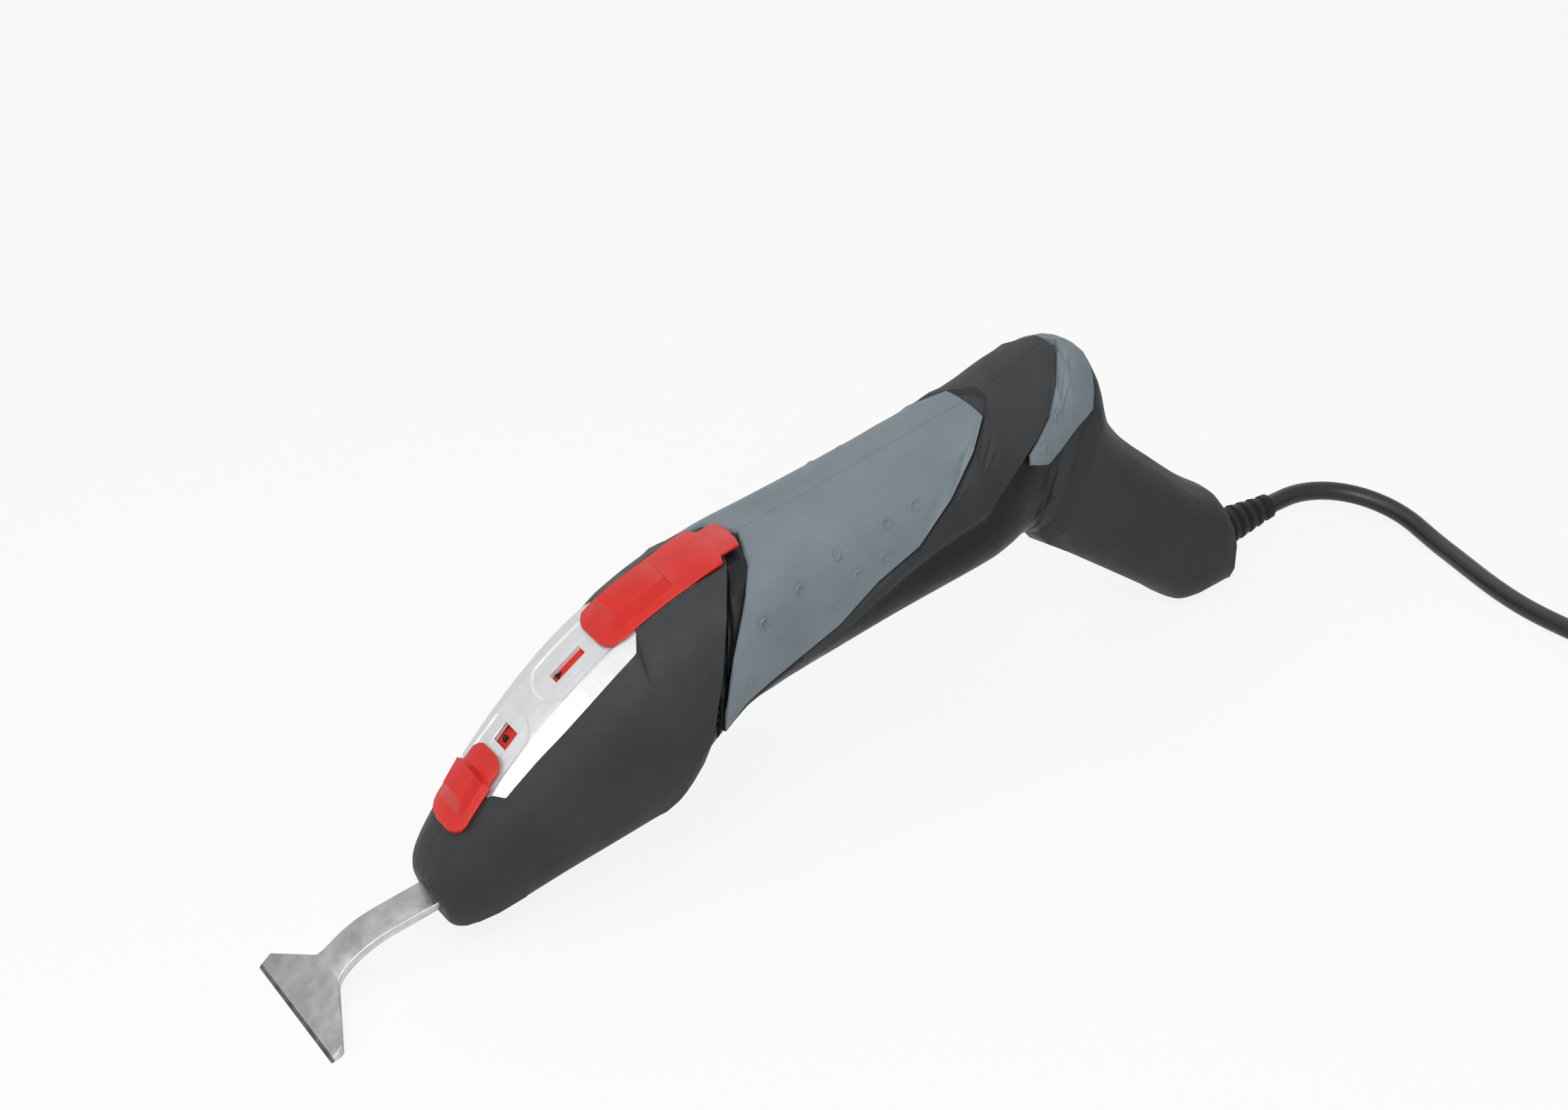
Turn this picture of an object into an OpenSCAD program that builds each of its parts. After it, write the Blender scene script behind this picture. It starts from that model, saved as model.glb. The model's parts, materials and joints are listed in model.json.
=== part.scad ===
/* [Blade] */
// Width of the cutting edge
blade_w = 50; // [36:1:60]
// Thickness of the blade's steel
blade_t = 2.5; // [2:0.1:3]
// Width of the blade's shank
shank_w = 12; // [9:0.5:13]
// Height of the shank's middle above the cutting edge
shank_z = 14; // [13.8:0.1:14.6]
// Distance from the cutting edge back to the nose
blade_reach = 48; // [44:1:60]
// Length of the flared paddle along its slope
paddle_len = 17.5; // [15:0.5:20]
// Angle of the paddle below the shank
paddle_drop = 31; // [28:0.5:34]

/* [Housing] */
// Length from the nose to the collar at the top
front_len = 113; // [110:1:122]
// Width of the nose where the blade comes out
nose_w = 18.4; // [17:0.2:22]
// Greatest width of the front housing
front_w = 58.6; // [56:0.5:66]
// Height of the nose's underside above the cutting edge
belly_z = 6.3; // [5:0.1:6.5]
// Thickness of the moulded wall
wall = 2.6; // [2:0.1:3]
// Depth of the groove that sets off the collar
collar_depth = 1; // [0.4:0.1:1.4]

/* [Grip and handle] */
// Height of the grip's top above the cutting edge
grip_top = 76; // [75:0.5:80]
// Height of the grip's underside above the cutting edge
grip_bottom = 30; // [28:0.5:31]
// Width of the grip
grip_w = 48; // [47:0.5:54]
// Height of the hump above the grip's top
hump_rise = 7; // [4:0.5:10]
// Width of the rear handle
handle_w = 31.6; // [29:0.5:36]
// Thickness of the soft grip pads
pad_t = 1.6; // [1:0.1:2]

/* [Plate and sliders] */
// Thickness of the dial plate
plate_t = 1.4; // [1:0.1:1.8]
// Width of the slot under the plate
slot_w = 13; // [12:0.5:15]
// Travel of the speed slider along its track
speed_travel = 11; // [6:0.5:12]
// Travel of the blade lock slider
lock_travel = 4.5; // [3:0.5:5]
// Height of the thumb ridges on the sliders
ridge_h = 4.2; // [2:0.2:6]

/* [Drive] */
// Height of the plunger's axis above the cutting edge
plunger_z = 20.5; // [20:0.25:21]
// Radius of the plunger's rod
rod_r = 4.5; // [3.5:0.1:5]
// Throw of the crank
crank_throw = 1; // [0.5:0.1:1.2]
// Share of the front length from the nose back to the crank's axis
crank_share = 0.531; // [0.524:0.001:0.535]
// Teeth on the crown gear
crown_teeth = 22; // [20:1:24]
// Teeth on the motor's pinion
pinion_teeth = 9; // [8:1:9]

/* [Motor] */
// Height of the motor's axis above the cutting edge
motor_z = 52.6; // [52:0.2:53.4]
// Outer radius of the stator
stator_r = 19; // [17:0.25:19.5]
// Length of the stator's iron
stator_len = 42; // [36:1:46]
// Radius of the armature's iron
armature_r = 10.6; // [9.5:0.1:11]
// Radius of the armature's shaft
shaft_r = 3; // [2.5:0.1:3.2]

/* [Mains lead] */
// Diameter of the cord
cord_d = 6; // [5:0.2:7]
// Length of the strain relief outside the handle
guard_len = 24; // [20:1:40]
// Turns in each of the coil's two layers
coil_turns = 3.5; // [2.5:1:4.5]

/* [Clearances] */
// Gap around pieces that seat in the housing
fit_gap = 0.3; // [0.2:0.05:0.5]
// Gap under pieces that slide on the housing
slide_gap = 0.5; // [0.4:0.05:0.8]
// Radial gap of a running shaft
run_gap = 0.04; // [0.02:0.01:0.08]
// Gap between the housing halves
seam = 0.1; // [0.05:0.05:0.3]

/* [Hidden] */
$fn = 64;
black = "#2b2c2e";
grey = "#7c878e";
red = "#d8362b";
steel = "#9a9c9e";

// Places along the body, measured back from the cutting edge

nose_x = blade_reach;
front_x = nose_x + 8;
collar_x = nose_x + front_len;
grey_x = collar_x + 8;
hump_x = collar_x + 95;
heel_x = hump_x + 66;
crank_x = nose_x + crank_share * front_len;

// Body stations: [top x, top z, bottom x, bottom z, half width, height share of the widest place]

nose_top = 32;
belly_end_z = belly_z + 5.3;
function mix(a, b, t) = a + (b - a) * t;
function brow(t) = 1 - pow(1 - t, 2.1);
function neck_w(t) = mix(handle_w, grip_w, t);
function front_station(t, bottom_rise, w_share) = [
    mix(front_x, collar_x + 6, t), mix(nose_top, grip_top, brow(t)),
    mix(front_x, nose_x + 102, t), belly_z + bottom_rise,
    mix(nose_w / 2 + 6, front_w / 2, w_share), 0.42];

STATIONS = [
    [nose_x, belly_z + 14.5, nose_x + 1, belly_z + 3.2, nose_w / 2, 0.45],
    [nose_x + 2, belly_z + 19, nose_x + 2.4, belly_z + 0.9, nose_w / 2 + 3.2, 0.45],
    front_station(0, 0, 0),
    front_station(0.13, 0.9, 0.25),
    front_station(0.28, 2.2, 0.47),
    front_station(0.46, 3.8, 0.74),
    front_station(0.62, 5.3, 0.92),
    [collar_x - 17, grip_top - 1.7, nose_x + 71.5, belly_z + 8.3, front_w / 2, 0.44],
    [collar_x, grip_top - 0.4, nose_x + 78.5, grip_bottom - 9.2, front_w / 2 - 0.5, 0.48],
    [grey_x, grip_top, nose_x + 93, grip_bottom - 1, mix(grip_w, front_w, 0.64) / 2, 0.5],
    [grey_x + 13, grip_top + 0.3, nose_x + 112, grip_bottom, mix(grip_w, front_w, 0.3) / 2, 0.5],
    [grey_x + 29, grip_top + 0.6, nose_x + 134, grip_bottom, mix(grip_w, front_w, 0.1) / 2, 0.5],
    [grey_x + 48, grip_top + 1, nose_x + 157, grip_bottom, grip_w / 2, 0.5],
    [hump_x - 16, grip_top + 1.5, hump_x - 26, grip_bottom, grip_w / 2 + 0.6, 0.5],
    [hump_x, grip_top + 2.4, hump_x - 15, grip_bottom - 0.4, grip_w / 2 + 0.4, 0.5],
    [hump_x + 12, grip_top + hump_rise - 1.8, hump_x - 8.5, grip_bottom - 1.6, grip_w / 2 - 0.4, 0.5],
    [hump_x + 23, grip_top + hump_rise - 0.2, hump_x - 3.5, grip_bottom - 3.6, neck_w(0.75) / 2, 0.5],
    [hump_x + 30.5, grip_top + hump_rise - 2.4, hump_x, grip_bottom - 6, neck_w(0.5) / 2, 0.5],
    [hump_x + 34.2, grip_top - 1.5, hump_x + 3.5, grip_bottom - 9, neck_w(0.25) / 2, 0.5],
    [hump_x + 35.2, grip_top - 11, hump_x + 7, grip_bottom - 12.4, handle_w / 2 + 0.8, 0.5],
    [hump_x + 35.5, grip_top - 22.5, hump_x + 11, grip_bottom - 16.4, handle_w / 2, 0.5],
    [hump_x + 40.5, grip_bottom + 10, hump_x + 18, grip_bottom - 24, handle_w / 2, 0.5],
    [hump_x + 51.5, grip_bottom - 5.5, hump_x + 29.5, grip_bottom - 37, handle_w / 2, 0.5],
    [heel_x - 4.5, grip_bottom - 19, heel_x - 25.5, grip_bottom - 49.5, handle_w / 2, 0.5],
    [heel_x + 2, grip_bottom - 26, heel_x - 18, grip_bottom - 58, handle_w / 2, 0.5],
    [heel_x + 5.5, grip_bottom - 30, heel_x - 8, grip_bottom - 59.4, handle_w / 2 - 0.4, 0.5],
    [heel_x + 6.5, grip_bottom - 34, heel_x + 0.5, grip_bottom - 60, handle_w / 2 - 1.6, 0.5]
];
LAST = len(STATIONS) - 1;

// A smooth curve through the stations, and a point of the skin at a station, a share round and a depth

function curve(a, b, c, d, t) =
    0.5 * (2 * b + (c - a) * t + (2 * a - 5 * b + 4 * c - d) * t * t + (3 * b - a - 3 * c + d) * t * t * t);
function station(s) = let (i = min(floor(s), LAST - 1), t = s - i) [for (k = [0:5])
    curve(STATIONS[max(i - 1, 0)][k], STATIONS[i][k], STATIONS[i + 1][k], STATIONS[min(i + 2, LAST)][k], t)];

top_round = 2.5;
bottom_round = 2.9;
function place(g, y, h) = [mix(g[2], g[0], h), y, mix(g[3], g[1], h)];
function outline(g, u) = let (a = 180 * u, n = u < 0.5 ? top_round : bottom_round, f = g[5])
    place(g, g[4] * pow(max(0, sin(a)), 2 / n),
          u < 0.5 ? f + (1 - f) * pow(cos(a), 2 / n) : f - f * pow(max(0, -cos(a)), 2 / n));

// Stations near the collar sweep forward down the flanks

function sweep(s) = lookup(s, [[6.5, 0], [8, 0.6], [9, 1.3], [10, 0.9], [11, 0.4], [12, 0]]);
function swept(s, u) = s - sweep(s) * pow(sin(180 * min(1, 1.25 * abs(u))), 1.3);
function skin(s, u, depth) = let (
    g = station(swept(s, u)), p = outline(g, abs(u)), c = place(g, 0, g[5]), v = p - c,
    k = 1 - depth / norm(v))
    [c.x + v.x * k, (u < 0 ? -1 : 1) * v.y * k, c.z + v.z * k];

// Lines on the skin: edge of the plate or grip pad, then edge of the hump's cheek

plate_from = 3.1;
plate_to = 7.3;
pad_from = 9;
pad_to = 13.8;
collar_from = 8;
function first_line(s) = lookup(s, [
    [3, 0.12], [plate_from, 0.125], [3.3, 0.206], [4.6, 0.194], [5.95, 0.15], [6.1, 0.1], [8, 0.1],
    [pad_from, 0.66], [10, 0.62], [11, 0.555], [11.4, 0.513], [12, 0.475], [12.35, 0.4], [12.75, 0.306],
    [13.1, 0.2], [13.6, 0.088], [pad_to, 0.03], [15, 0.03], [16, 0.02]]);
function second_line(s) = lookup(s, [
    [8, 0.85], [pad_from, 0.7], [10, 0.65], [11, 0.585], [11.9, 0.505], [12.7, 0.49], [12.95, 0.494],
    [13.4, 0.431], [14.1, 0.36], [14.95, 0.294], [15.7, 0.138], [16.05, 0.05]]);

// Standing on the cutting edge and the heel

rest_pitch = -max([for (s = [22:0.25:LAST]) let (p = skin(s, 1, 0)) atan2(-p.z, p.x)]);
butt = place(station(LAST), 0, 0.5);
exit_way = [cos(rest_pitch), 0, sin(rest_pitch)];
function row(p) = [
    p.x * cos(rest_pitch) + p.z * sin(rest_pitch) - mid_x, p.y,
    p.z * cos(rest_pitch) - p.x * sin(rest_pitch)];
mid_x = (butt.x * cos(rest_pitch) + butt.z * sin(rest_pitch) + guard_len) / 2;
module stand() {
    translate([-mid_x, 0, 0]) rotate([0, rest_pitch, 0]) children();
}

plate_bed = plate_t + fit_gap;
cheek_step = 0.6;
palm_bed = 3.2;
step_s = 0.05;
function ledge(s, from, to, depth) =
    lookup(s, [[from - step_s, 0], [from, depth], [to, depth], [to + step_s, 0]]);
function collar_groove(s) = ledge(s, collar_from + step_s, pad_from - step_s, collar_depth);
palm_top = 16.1;
function crown_depth(s) = collar_groove(s) + (s < palm_top - step_s / 2 ? 0 : third_depth(s));
function first_depth(s) = ledge(s, plate_from - step_s, plate_to + step_s, plate_bed)
    + ledge(s, pad_from, pad_to + step_s, pad_t) + crown_depth(s);
function third_depth(s) = collar_groove(s) + lookup(s, [
    [pad_from - step_s, 0], [pad_from, cheek_step], [13.4, cheek_step], [14.1, 1.6], [15, palm_bed],
    [17.6, palm_bed], [18.2, 0]]);

// The slot in the top of the halves, under the plate

slot_from = 3.12;
slot_to = 6.9;
function in_slot(s) = s > slot_from - step_s / 2 && s < slot_to + step_s / 2;
function slot_share(s) = asin(pow(slot_w / 2 / station(s)[4], top_round / 2)) / 180;
function start_share(s) = in_slot(s) ? slot_share(s) : 0;

// One half's section: out along the skin in three zones, then back along the inside

zone_n = [5, 5, 7];
line_gap = 0.005;
function zone(from, to, n, depth) = [for (k = [0:n]) [mix(from, to, k / n), depth]];
function skin_steps(s) = let (a = first_line(s), b = max(second_line(s), a + 0.03)) concat(
    zone(start_share(s), a - line_gap, zone_n[0], first_depth(s)),
    zone(a + line_gap, b - line_gap, zone_n[1], crown_depth(s)),
    zone(b + line_gap, 1, zone_n[2], third_depth(s)));

cradle_r = stator_r + fit_gap;
cradle_from = 9.6;
cradle_to = 14.2;
butt_from = 25.6;
guard_neck_r = cord_d / 2 + 1.6;
inside_n = 9;
function depth_at(s, u) = u < first_line(s) ? first_depth(s) :
    u < second_line(s) ? crown_depth(s) : third_depth(s);
function cradle_point(s, u) = let (g = station(swept(s, u)), z = motor_z + cradle_r * cos(180 * u))
    place(g, cradle_r * sin(180 * u), (z - g[3]) / (g[1] - g[3]));
function wall_at(s) = lookup(s, [[0, wall / 2], [2, wall]]);
function hole_point(s, u) = let (
    p = skin(s, u, 0), c = place(station(s), 0, 0.5), a = butt + exit_way * ((c - butt) * exit_way))
    a + (p - c) * (guard_neck_r + fit_gap) / norm(p - c);
function inside(s, u) =
    s >= cradle_from && s <= cradle_to ? cradle_point(s, u) :
    s > butt_from ? hole_point(s, u) : skin(s, u, wall_at(s) + depth_at(s, u));

function seam_side(p) = [p.x, max(p.y, seam / 2), p.z];
function half_ring(s) = concat(
    [for (q = skin_steps(s)) seam_side(skin(s, q[0], q[1]))],
    [for (k = [inside_n:-1:0]) seam_side(inside(s, mix(start_share(s), 1, k / inside_n)))]);

edges_s = [
    plate_from - 2 * step_s, plate_from - step_s, 3.3, slot_from - step_s, slot_from, slot_to,
    slot_to + step_s, 5.95, 6.1, plate_to + step_s, plate_to + 2 * step_s, collar_from, collar_from + step_s,
    pad_from - step_s, pad_from, pad_to + step_s, pad_to + 2 * step_s, palm_top - step_s, palm_top,
    cradle_from - 0.1, cradle_from, cradle_to, cradle_to + 0.1, butt_from - 0.1, butt_from + 0.02];
function sorted(v) = len(v) < 2 ? v : let (m = v[floor(len(v) / 2)]) concat(
    sorted([for (x = v) if (x < m - 0.001) x]), [m], sorted([for (x = v) if (x > m + 0.001) x]));
RINGS = sorted(concat([for (s = [0:0.5:LAST]) s], edges_s));

// A closed solid over a list of equal rings; a slab's ends are closed in strips

function strip(j, m, at) = let (a = at + j, b = at + j + 1, c = at + m - 2 - j, d = at + m - 1 - j)
    [[a, b, d], [b, c, d]];
function backwards(faces) = [for (f = faces) [f[2], f[1], f[0]]];
module loft(rings, slab = false) {
    m = len(rings[0]);
    n = len(rings);
    points = [for (r = rings) each r];
    sides = [for (i = [0:n - 2]) for (j = [0:m - 1]) let (a = i * m + j, b = i * m + (j + 1) % m)
        each [[a, b, a + m], [b, b + m, a + m]]];
    strips = [for (j = [0:m / 2 - 2]) each concat(backwards(strip(j, m, 0)), strip(j, m, (n - 1) * m))];
    caps = slab ? strips : [[for (j = [m - 1:-1:0]) j], [for (j = [0:m - 1]) (n - 1) * m + j]];
    polyhedron(points, concat(sides, caps), convexity = 8);
}

module shell_half() {
    loft([for (s = RINGS) half_ring(s)]);
}

module shell_right() {
    color(black) stand() shell_half();
}

module shell_left() {
    color(black) stand() mirror([0, 1, 0]) shell_half();
}

// Soft pads in their beds

function lattice(s, from, to, n, top, under) = concat(
    [for (k = [0:n]) seam_side(skin(s, mix(from, to, k / n), top))],
    [for (k = [n:-1:0]) seam_side(skin(s, mix(from, to, k / n), under))]);
module grip_pad() {
    loft([for (s = RINGS) if (s >= pad_from && s <= pad_to)
        lattice(s, 0, first_line(s) - 2 * line_gap, zone_n[0], 0, pad_t - 2 * seam)], slab = true);
}

palm_from = 14.1;
palm_to = 17.6;
palm_t = 2.4;
function palm_edge(s) = lookup(s, [
    [palm_from, 0.4], [14.9, 0.463], [15.7, 0.44], [16.05, 0.42], [17, 0.38], [palm_to, 0.34]]);
function palm_start(s) = s < palm_top + 0.2 ? second_line(s) + 3 * line_gap : 0;
module palm_pad() {
    loft([for (s = RINGS) if (s > palm_from && s <= palm_to)
        lattice(s, palm_start(s), palm_edge(s), 5, max(third_depth(s) - palm_t, 0.4),
                third_depth(s) - 1.5 * fit_gap)], slab = true);
}

module grip_pad_right() {
    color(grey) stand() grip_pad();
}

module grip_pad_left() {
    color(grey) stand() mirror([0, 1, 0]) grip_pad();
}

module palm_pad_right() {
    color(grey) stand() palm_pad();
}

module palm_pad_left() {
    color(grey) stand() mirror([0, 1, 0]) palm_pad();
}

// Dial plate with its windows, and the two sliders that ride on it

TOP_LINE = [for (s = [0:0.1:14]) [station(s)[0], s]];
function s_at(x) = lookup(x, TOP_LINE);
function share_at(s, y) = asin(pow(min(1, y / station(s)[4]), top_round / 2)) / 180;
function slope_at(x) = let (a = skin(s_at(x - 0.5), 0, 0), b = skin(s_at(x + 0.5), 0, 0))
    atan2(b.z - a.z, b.x - a.x);
function turned(v) = [for (i = [len(v) - 1:-1:0]) v[i]];

module at_top(x) {
    p = skin(s_at(x), 0, 0);
    translate(p) rotate([0, -slope_at(x), 0]) children();
}

module block(from, to) {
    translate(from) cube(to - from);
}

plate_shares = [for (k = [-5:5]) k / 5];
lock_x = nose_x + 10.5;
lock_end = lock_x + 14;
lock_tail = lock_end + 6.4;
lock_stem = lock_end + 0.7;
lock_window = nose_x + 36.4;
speed_x = collar_x - 44;
speed_end = collar_x - 2.5;
speed_tail = collar_x + 4;
speed_stem = collar_x - 36;
speed_window = nose_x + 60;
stem_len = 3;
stem_y = 2.2;
finger_len = 2;

module top_plate() {
    color("#d5d8d9") stand() difference() {
        loft([for (s = RINGS) if (s > plate_from && s < plate_to) let (w = first_line(s) - 3 * line_gap)
            concat([for (f = plate_shares) skin(s, w * f, 0)],
                   [for (f = turned(plate_shares)) skin(s, w * f, plate_t)])], slab = true);
        at_top(lock_stem)
            block([-8, -stem_y - slide_gap, -6], [lock_travel + finger_len + 0.5, stem_y + slide_gap, 4]);
        at_top(lock_window) block([-3, -3.4, -6], [3, 3.4, 4]);
        at_top(speed_window) block([-5.8, -2.3, -6], [5.8, 2.3, 4]);
        at_top(speed_stem + speed_travel / 2)
            block([-speed_travel / 2 - 3, -stem_y - slide_gap, -6],
                  [speed_travel / 2 + 4.5, stem_y + slide_gap, 4]);
    }
}

// A slider is a curved slab with a thumb ridge, a stem through the slot and a tongue behind the window

ridge_top = 0.4;
ridge_foot = 0.62;
ridge_shares = [-1, -0.86, -ridge_foot, -ridge_top, 0, ridge_top, ridge_foot, 0.86, 1];
function ridge_side(f) = lookup(abs(f), [[ridge_top, 1], [ridge_foot, 0]]);
module slider_slab(places, half, lift) {
    loft([for (x = places) let (s = s_at(x), w = share_at(s, lookup(x, half))) concat(
        [for (f = ridge_shares)
            skin(s, w * f, -lookup(x, lift[0]) - ridge_h * lookup(x, lift[1]) * ridge_side(f))],
        [for (f = turned(ridge_shares)) skin(s, w * f, -lookup(x, lift[2]))])], slab = true);
}

module tongue(from, to, half, depth) {
    loft([for (k = [0:6]) let (s = s_at(mix(from, to, k / 6)), w = share_at(s, half)) concat(
        [for (f = [-1, 0, 1]) skin(s, w * f, depth)], [for (f = [1, 0, -1]) skin(s, w * f, depth + 1)])],
        slab = true);
}

speed_half = [
    [speed_x, 4.5], [speed_x + 0.8, 7], [speed_x + 2.6, 9.2], [speed_x + 6, 10], [speed_end, 10],
    [speed_end + 0.1, 7], [speed_tail, 7]];
speed_lift = [
    [[speed_x, 1.6], [speed_x + 1, 2.3], [speed_end, 2.6], [speed_end + 0.1, 1.9], [speed_tail, 1.8]],
    [[speed_x + 4, 0], [speed_x + 6, 0.92], [speed_x + 13, 1], [speed_x + 22, 0.96], [speed_x + 25, 0]],
    [[speed_end - 6, slide_gap], [speed_end, 2 * slide_gap], [speed_tail, 2 * slide_gap]]];
speed_places = [for (d = [0, 0.8, 2.6, 4, 6, 9.5, 13, 17.5, 22, 25, 29, 33, 37]) speed_x + d];
module speed_slider() {
    color(red) stand() union() {
        slider_slab(concat(speed_places, [speed_end, speed_end + 0.1, speed_tail]), speed_half, speed_lift);
        at_top(speed_stem) block([0, -stem_y, -plate_bed - 2.5], [stem_len, stem_y, 1.5]);
        tongue(speed_window - 6.4, speed_stem + stem_len - 0.5, 4.5, plate_t + slide_gap);
    }
}

lock_half = [
    [lock_x, 3], [lock_x + 0.5, 5], [lock_x + 1.4, 6.7], [lock_x + 2.6, 7.9], [lock_x + 4, 8.5],
    [lock_end, 8.5], [lock_end + 0.1, 7.6], [lock_tail - 2, 7.4], [lock_tail - 0.8, 6], [lock_tail, 4]];
lock_lift = [
    [[lock_x, 1.4], [lock_x + 0.7, 1.9], [lock_end, 2], [lock_end + 0.1, 1.3], [lock_tail, 1.1]],
    [[lock_x + 4, 0], [lock_x + 5.8, 0.8], [lock_x + 12, 1], [lock_x + 13.2, 0]],
    [[lock_x, slide_gap], [lock_tail, slide_gap]]];
lock_places = [for (d = [0, 0.5, 1.4, 2.6, 4, 5.8, 7.8, 10, 12, 13.2]) lock_x + d];
lock_slope = slope_at((lock_x + lock_end) / 2);
finger_top = skin(s_at(lock_stem), 0, 0);
module lock_slider() {
    color(red) stand() union() {
        slider_slab(
            concat(lock_places, [lock_end, lock_end + 0.1, lock_tail - 2, lock_tail - 0.8, lock_tail]),
            lock_half, lock_lift);
        block([finger_top.x, -stem_y, link_z], [finger_top.x + finger_len, stem_y, finger_top.z + 1.5]);
        block([finger_x, -stem_y, link_z], [finger_top.x + finger_len, stem_y, link_z + 3]);
        block([finger_x, -stem_y, shoe_top + slide_gap], [finger_x + finger_len, stem_y, link_z + 3]);
        tongue(lock_stem + 0.5, lock_window + 3.6, 4, plate_t + 2 * slide_gap);
    }
}

// Blade: a bent strip cut to the shape of a flared paddle

bend_r = (shank_z - paddle_len * sin(paddle_drop)) / (1 - cos(paddle_drop));
tang_end = nose_x + 24;
bend_x = paddle_len * cos(paddle_drop);
shank_x = bend_x + bend_r * sin(paddle_drop);
function middle_line(k) = k <= 8 ?
    [shank_x - bend_r * sin(drop_at(k)), shank_z - bend_r * (1 - cos(drop_at(k)))] : [tang_end, shank_z];
function beside(p, a, d) = [p.x - d * sin(a), p.y + d * cos(a)];
function drop_at(k) = k <= 8 ? paddle_drop * (1 - k / 8) : 0;
bevel_len = 3.2;
module blade() {
    side = concat(
        [[0, 0], [bevel_len * cos(paddle_drop), 0] + [blade_t / 2 * sin(paddle_drop), 0]],
        [for (k = [0:9]) beside(middle_line(k), drop_at(k), -blade_t / 2)],
        [for (k = [9:-1:0]) beside(middle_line(k), drop_at(k), blade_t / 2)],
        [[-0.2 * sin(paddle_drop) + 0.35, 0.8]]);
    plan = [
        [0, blade_w / 2], [4.5, blade_w / 2 - 0.4], [bend_x - 1.5, shank_w / 2 + 1.2],
        [bend_x + 0.6, shank_w / 2 + 0.25], [bend_x + 3, shank_w / 2], [tang_end, shank_w / 2]];
    color(steel) stand() intersection() {
        translate([0, blade_w / 2, 0]) rotate([90, 0, 0]) linear_extrude(blade_w) polygon(side);
        translate([0, 0, -2]) linear_extrude(shank_z + 6)
            polygon(concat(plan, [for (p = turned(plan)) [p.x, -p.y]]));
    }
}

// Plunger: socket for the blade's tang, rod and the yoke that the crank drives

head_x = nose_x + 6;
head_end = head_x + 22;
head_y = 7.6;
head_z = shank_z - blade_t / 2 - 1.6;
head_top = plunger_z + 1.6;
shoe_x = head_x + 11.6;
shoe_len = 7;
shoe_y = 4;
shoe_top = head_top + 1.2;
finger_x = shoe_x + shoe_len - finger_len - 0.4;
link_z = shoe_top + 9;
socket_gap = 0.12;
roller_r = 3.6;
pin_r = 2.4;
yoke_z = plunger_z - 3;
yoke_top = plunger_z + rod_r;
yoke_slot = roller_r + 2 * crank_throw + fit_gap;
yoke_half = yoke_slot + 2.6;
yoke_y = 11;
module plunger() {
    color(steel) stand() difference() {
        union() {
            block([head_x, -head_y, head_z], [head_end, head_y, head_top]);
            translate([head_end - 0.5, 0, plunger_z]) rotate([0, 90, 0])
                cylinder(r = rod_r, h = crank_x - yoke_half - head_end + 2);
            block([crank_x - yoke_half, -yoke_y, yoke_z], [crank_x + yoke_half, yoke_y, yoke_top]);
        }
        block([head_x - 1, -shank_w / 2 - socket_gap, shank_z - blade_t / 2 - socket_gap],
              [tang_end + 0.5, shank_w / 2 + socket_gap, shank_z + blade_t / 2 + socket_gap]);
        block([shoe_x - fit_gap, -shoe_y - fit_gap, shank_z],
              [shoe_x + shoe_len + fit_gap, shoe_y + fit_gap, head_top + 1]);
        block([crank_x - yoke_slot, -roller_r - crank_throw - 1.5, yoke_z - 1],
              [crank_x + yoke_slot, roller_r + crank_throw + 1.5, yoke_top + 1]);
        translate([head_x + 4, 0, head_top]) cylinder(r = 1.6, h = 6, center = true);
    }
}

module clamp_shoe() {
    color("#6d7073") stand() difference() {
        block([shoe_x, -shoe_y, shank_z + blade_t / 2 + 0.1], [shoe_x + shoe_len, shoe_y, shoe_top]);
        translate([shoe_x - 1, 0, shoe_top + 0.6]) rotate([0, 90, 0]) cylinder(r = 1.4, h = shoe_len + 2);
    }
}

// Bush and gear frame that carry the drive

bush_x = head_end + 5;
bush_end_gap = 2.5;
bush_len = crank_x - yoke_half - bush_x - bush_end_gap;
bush_r = rod_r + 1.4;
module tube_x(x, z, len, r, bore) {
    translate([x, 0, z]) rotate([0, 90, 0]) difference() {
        cylinder(r = r, h = len);
        translate([0, 0, -1]) cylinder(r = bore, h = len + 2);
    }
}

module plunger_bush() {
    color("#b08d4a") stand() tube_x(bush_x, plunger_z, bush_len, bush_r, rod_r + run_gap);
}

crank_r = 4;
flange_z = yoke_top + 0.3;
deck_z = flange_z + 1.9;
bush_top = deck_z + 5.8;
crank_bush_r = 7;
bearing_r = 9.5;
crown_z = motor_z - 11.3;
deck_top = crown_z - 0.7;
wall_x = crank_x + 19;
wall_len = 8;
frame_top = motor_z + 11;
seat_gap = 0.02;
module gear_frame() {
    reach = skin(5, 0.5, wall + fit_gap).y;
    color("#b9bbbd") stand() difference() {
        union() {
            block([bush_x, -7.5, plunger_z - 7.2], [bush_x + bush_len, 7.5, deck_z + 3]);
            block([bush_x + 3, -10, deck_z], [crank_x - 8, 10, deck_z + 6]);
            block([crank_x - 11.5, -13, deck_z], [wall_x + 1, 13, deck_top]);
            block([crank_x - 5, -reach, deck_z], [crank_x + 3, reach, deck_z + 5]);
            block([wall_x, -16, deck_z + 4], [wall_x + wall_len, 16, frame_top]);
        }
        translate([bush_x - 1, 0, plunger_z]) rotate([0, 90, 0])
            cylinder(r = bush_r + seat_gap, h = bush_len + 2);
        translate([crank_x, 0, deck_z - 1]) cylinder(r = crank_bush_r + seat_gap, h = 20);
        translate([crank_x, 0, bush_top]) cylinder(r = bearing_r + seat_gap, h = 20);
        translate([wall_x - 1, 0, motor_z]) rotate([0, 90, 0])
            cylinder(r = bearing_r + seat_gap, h = wall_len + 2);
        for (y = [-12.5, 12.5]) translate([wall_x - 1, y, motor_z - 16]) rotate([0, 90, 0])
            cylinder(r = 1.6, h = wall_len + 2);
    }
}

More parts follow.
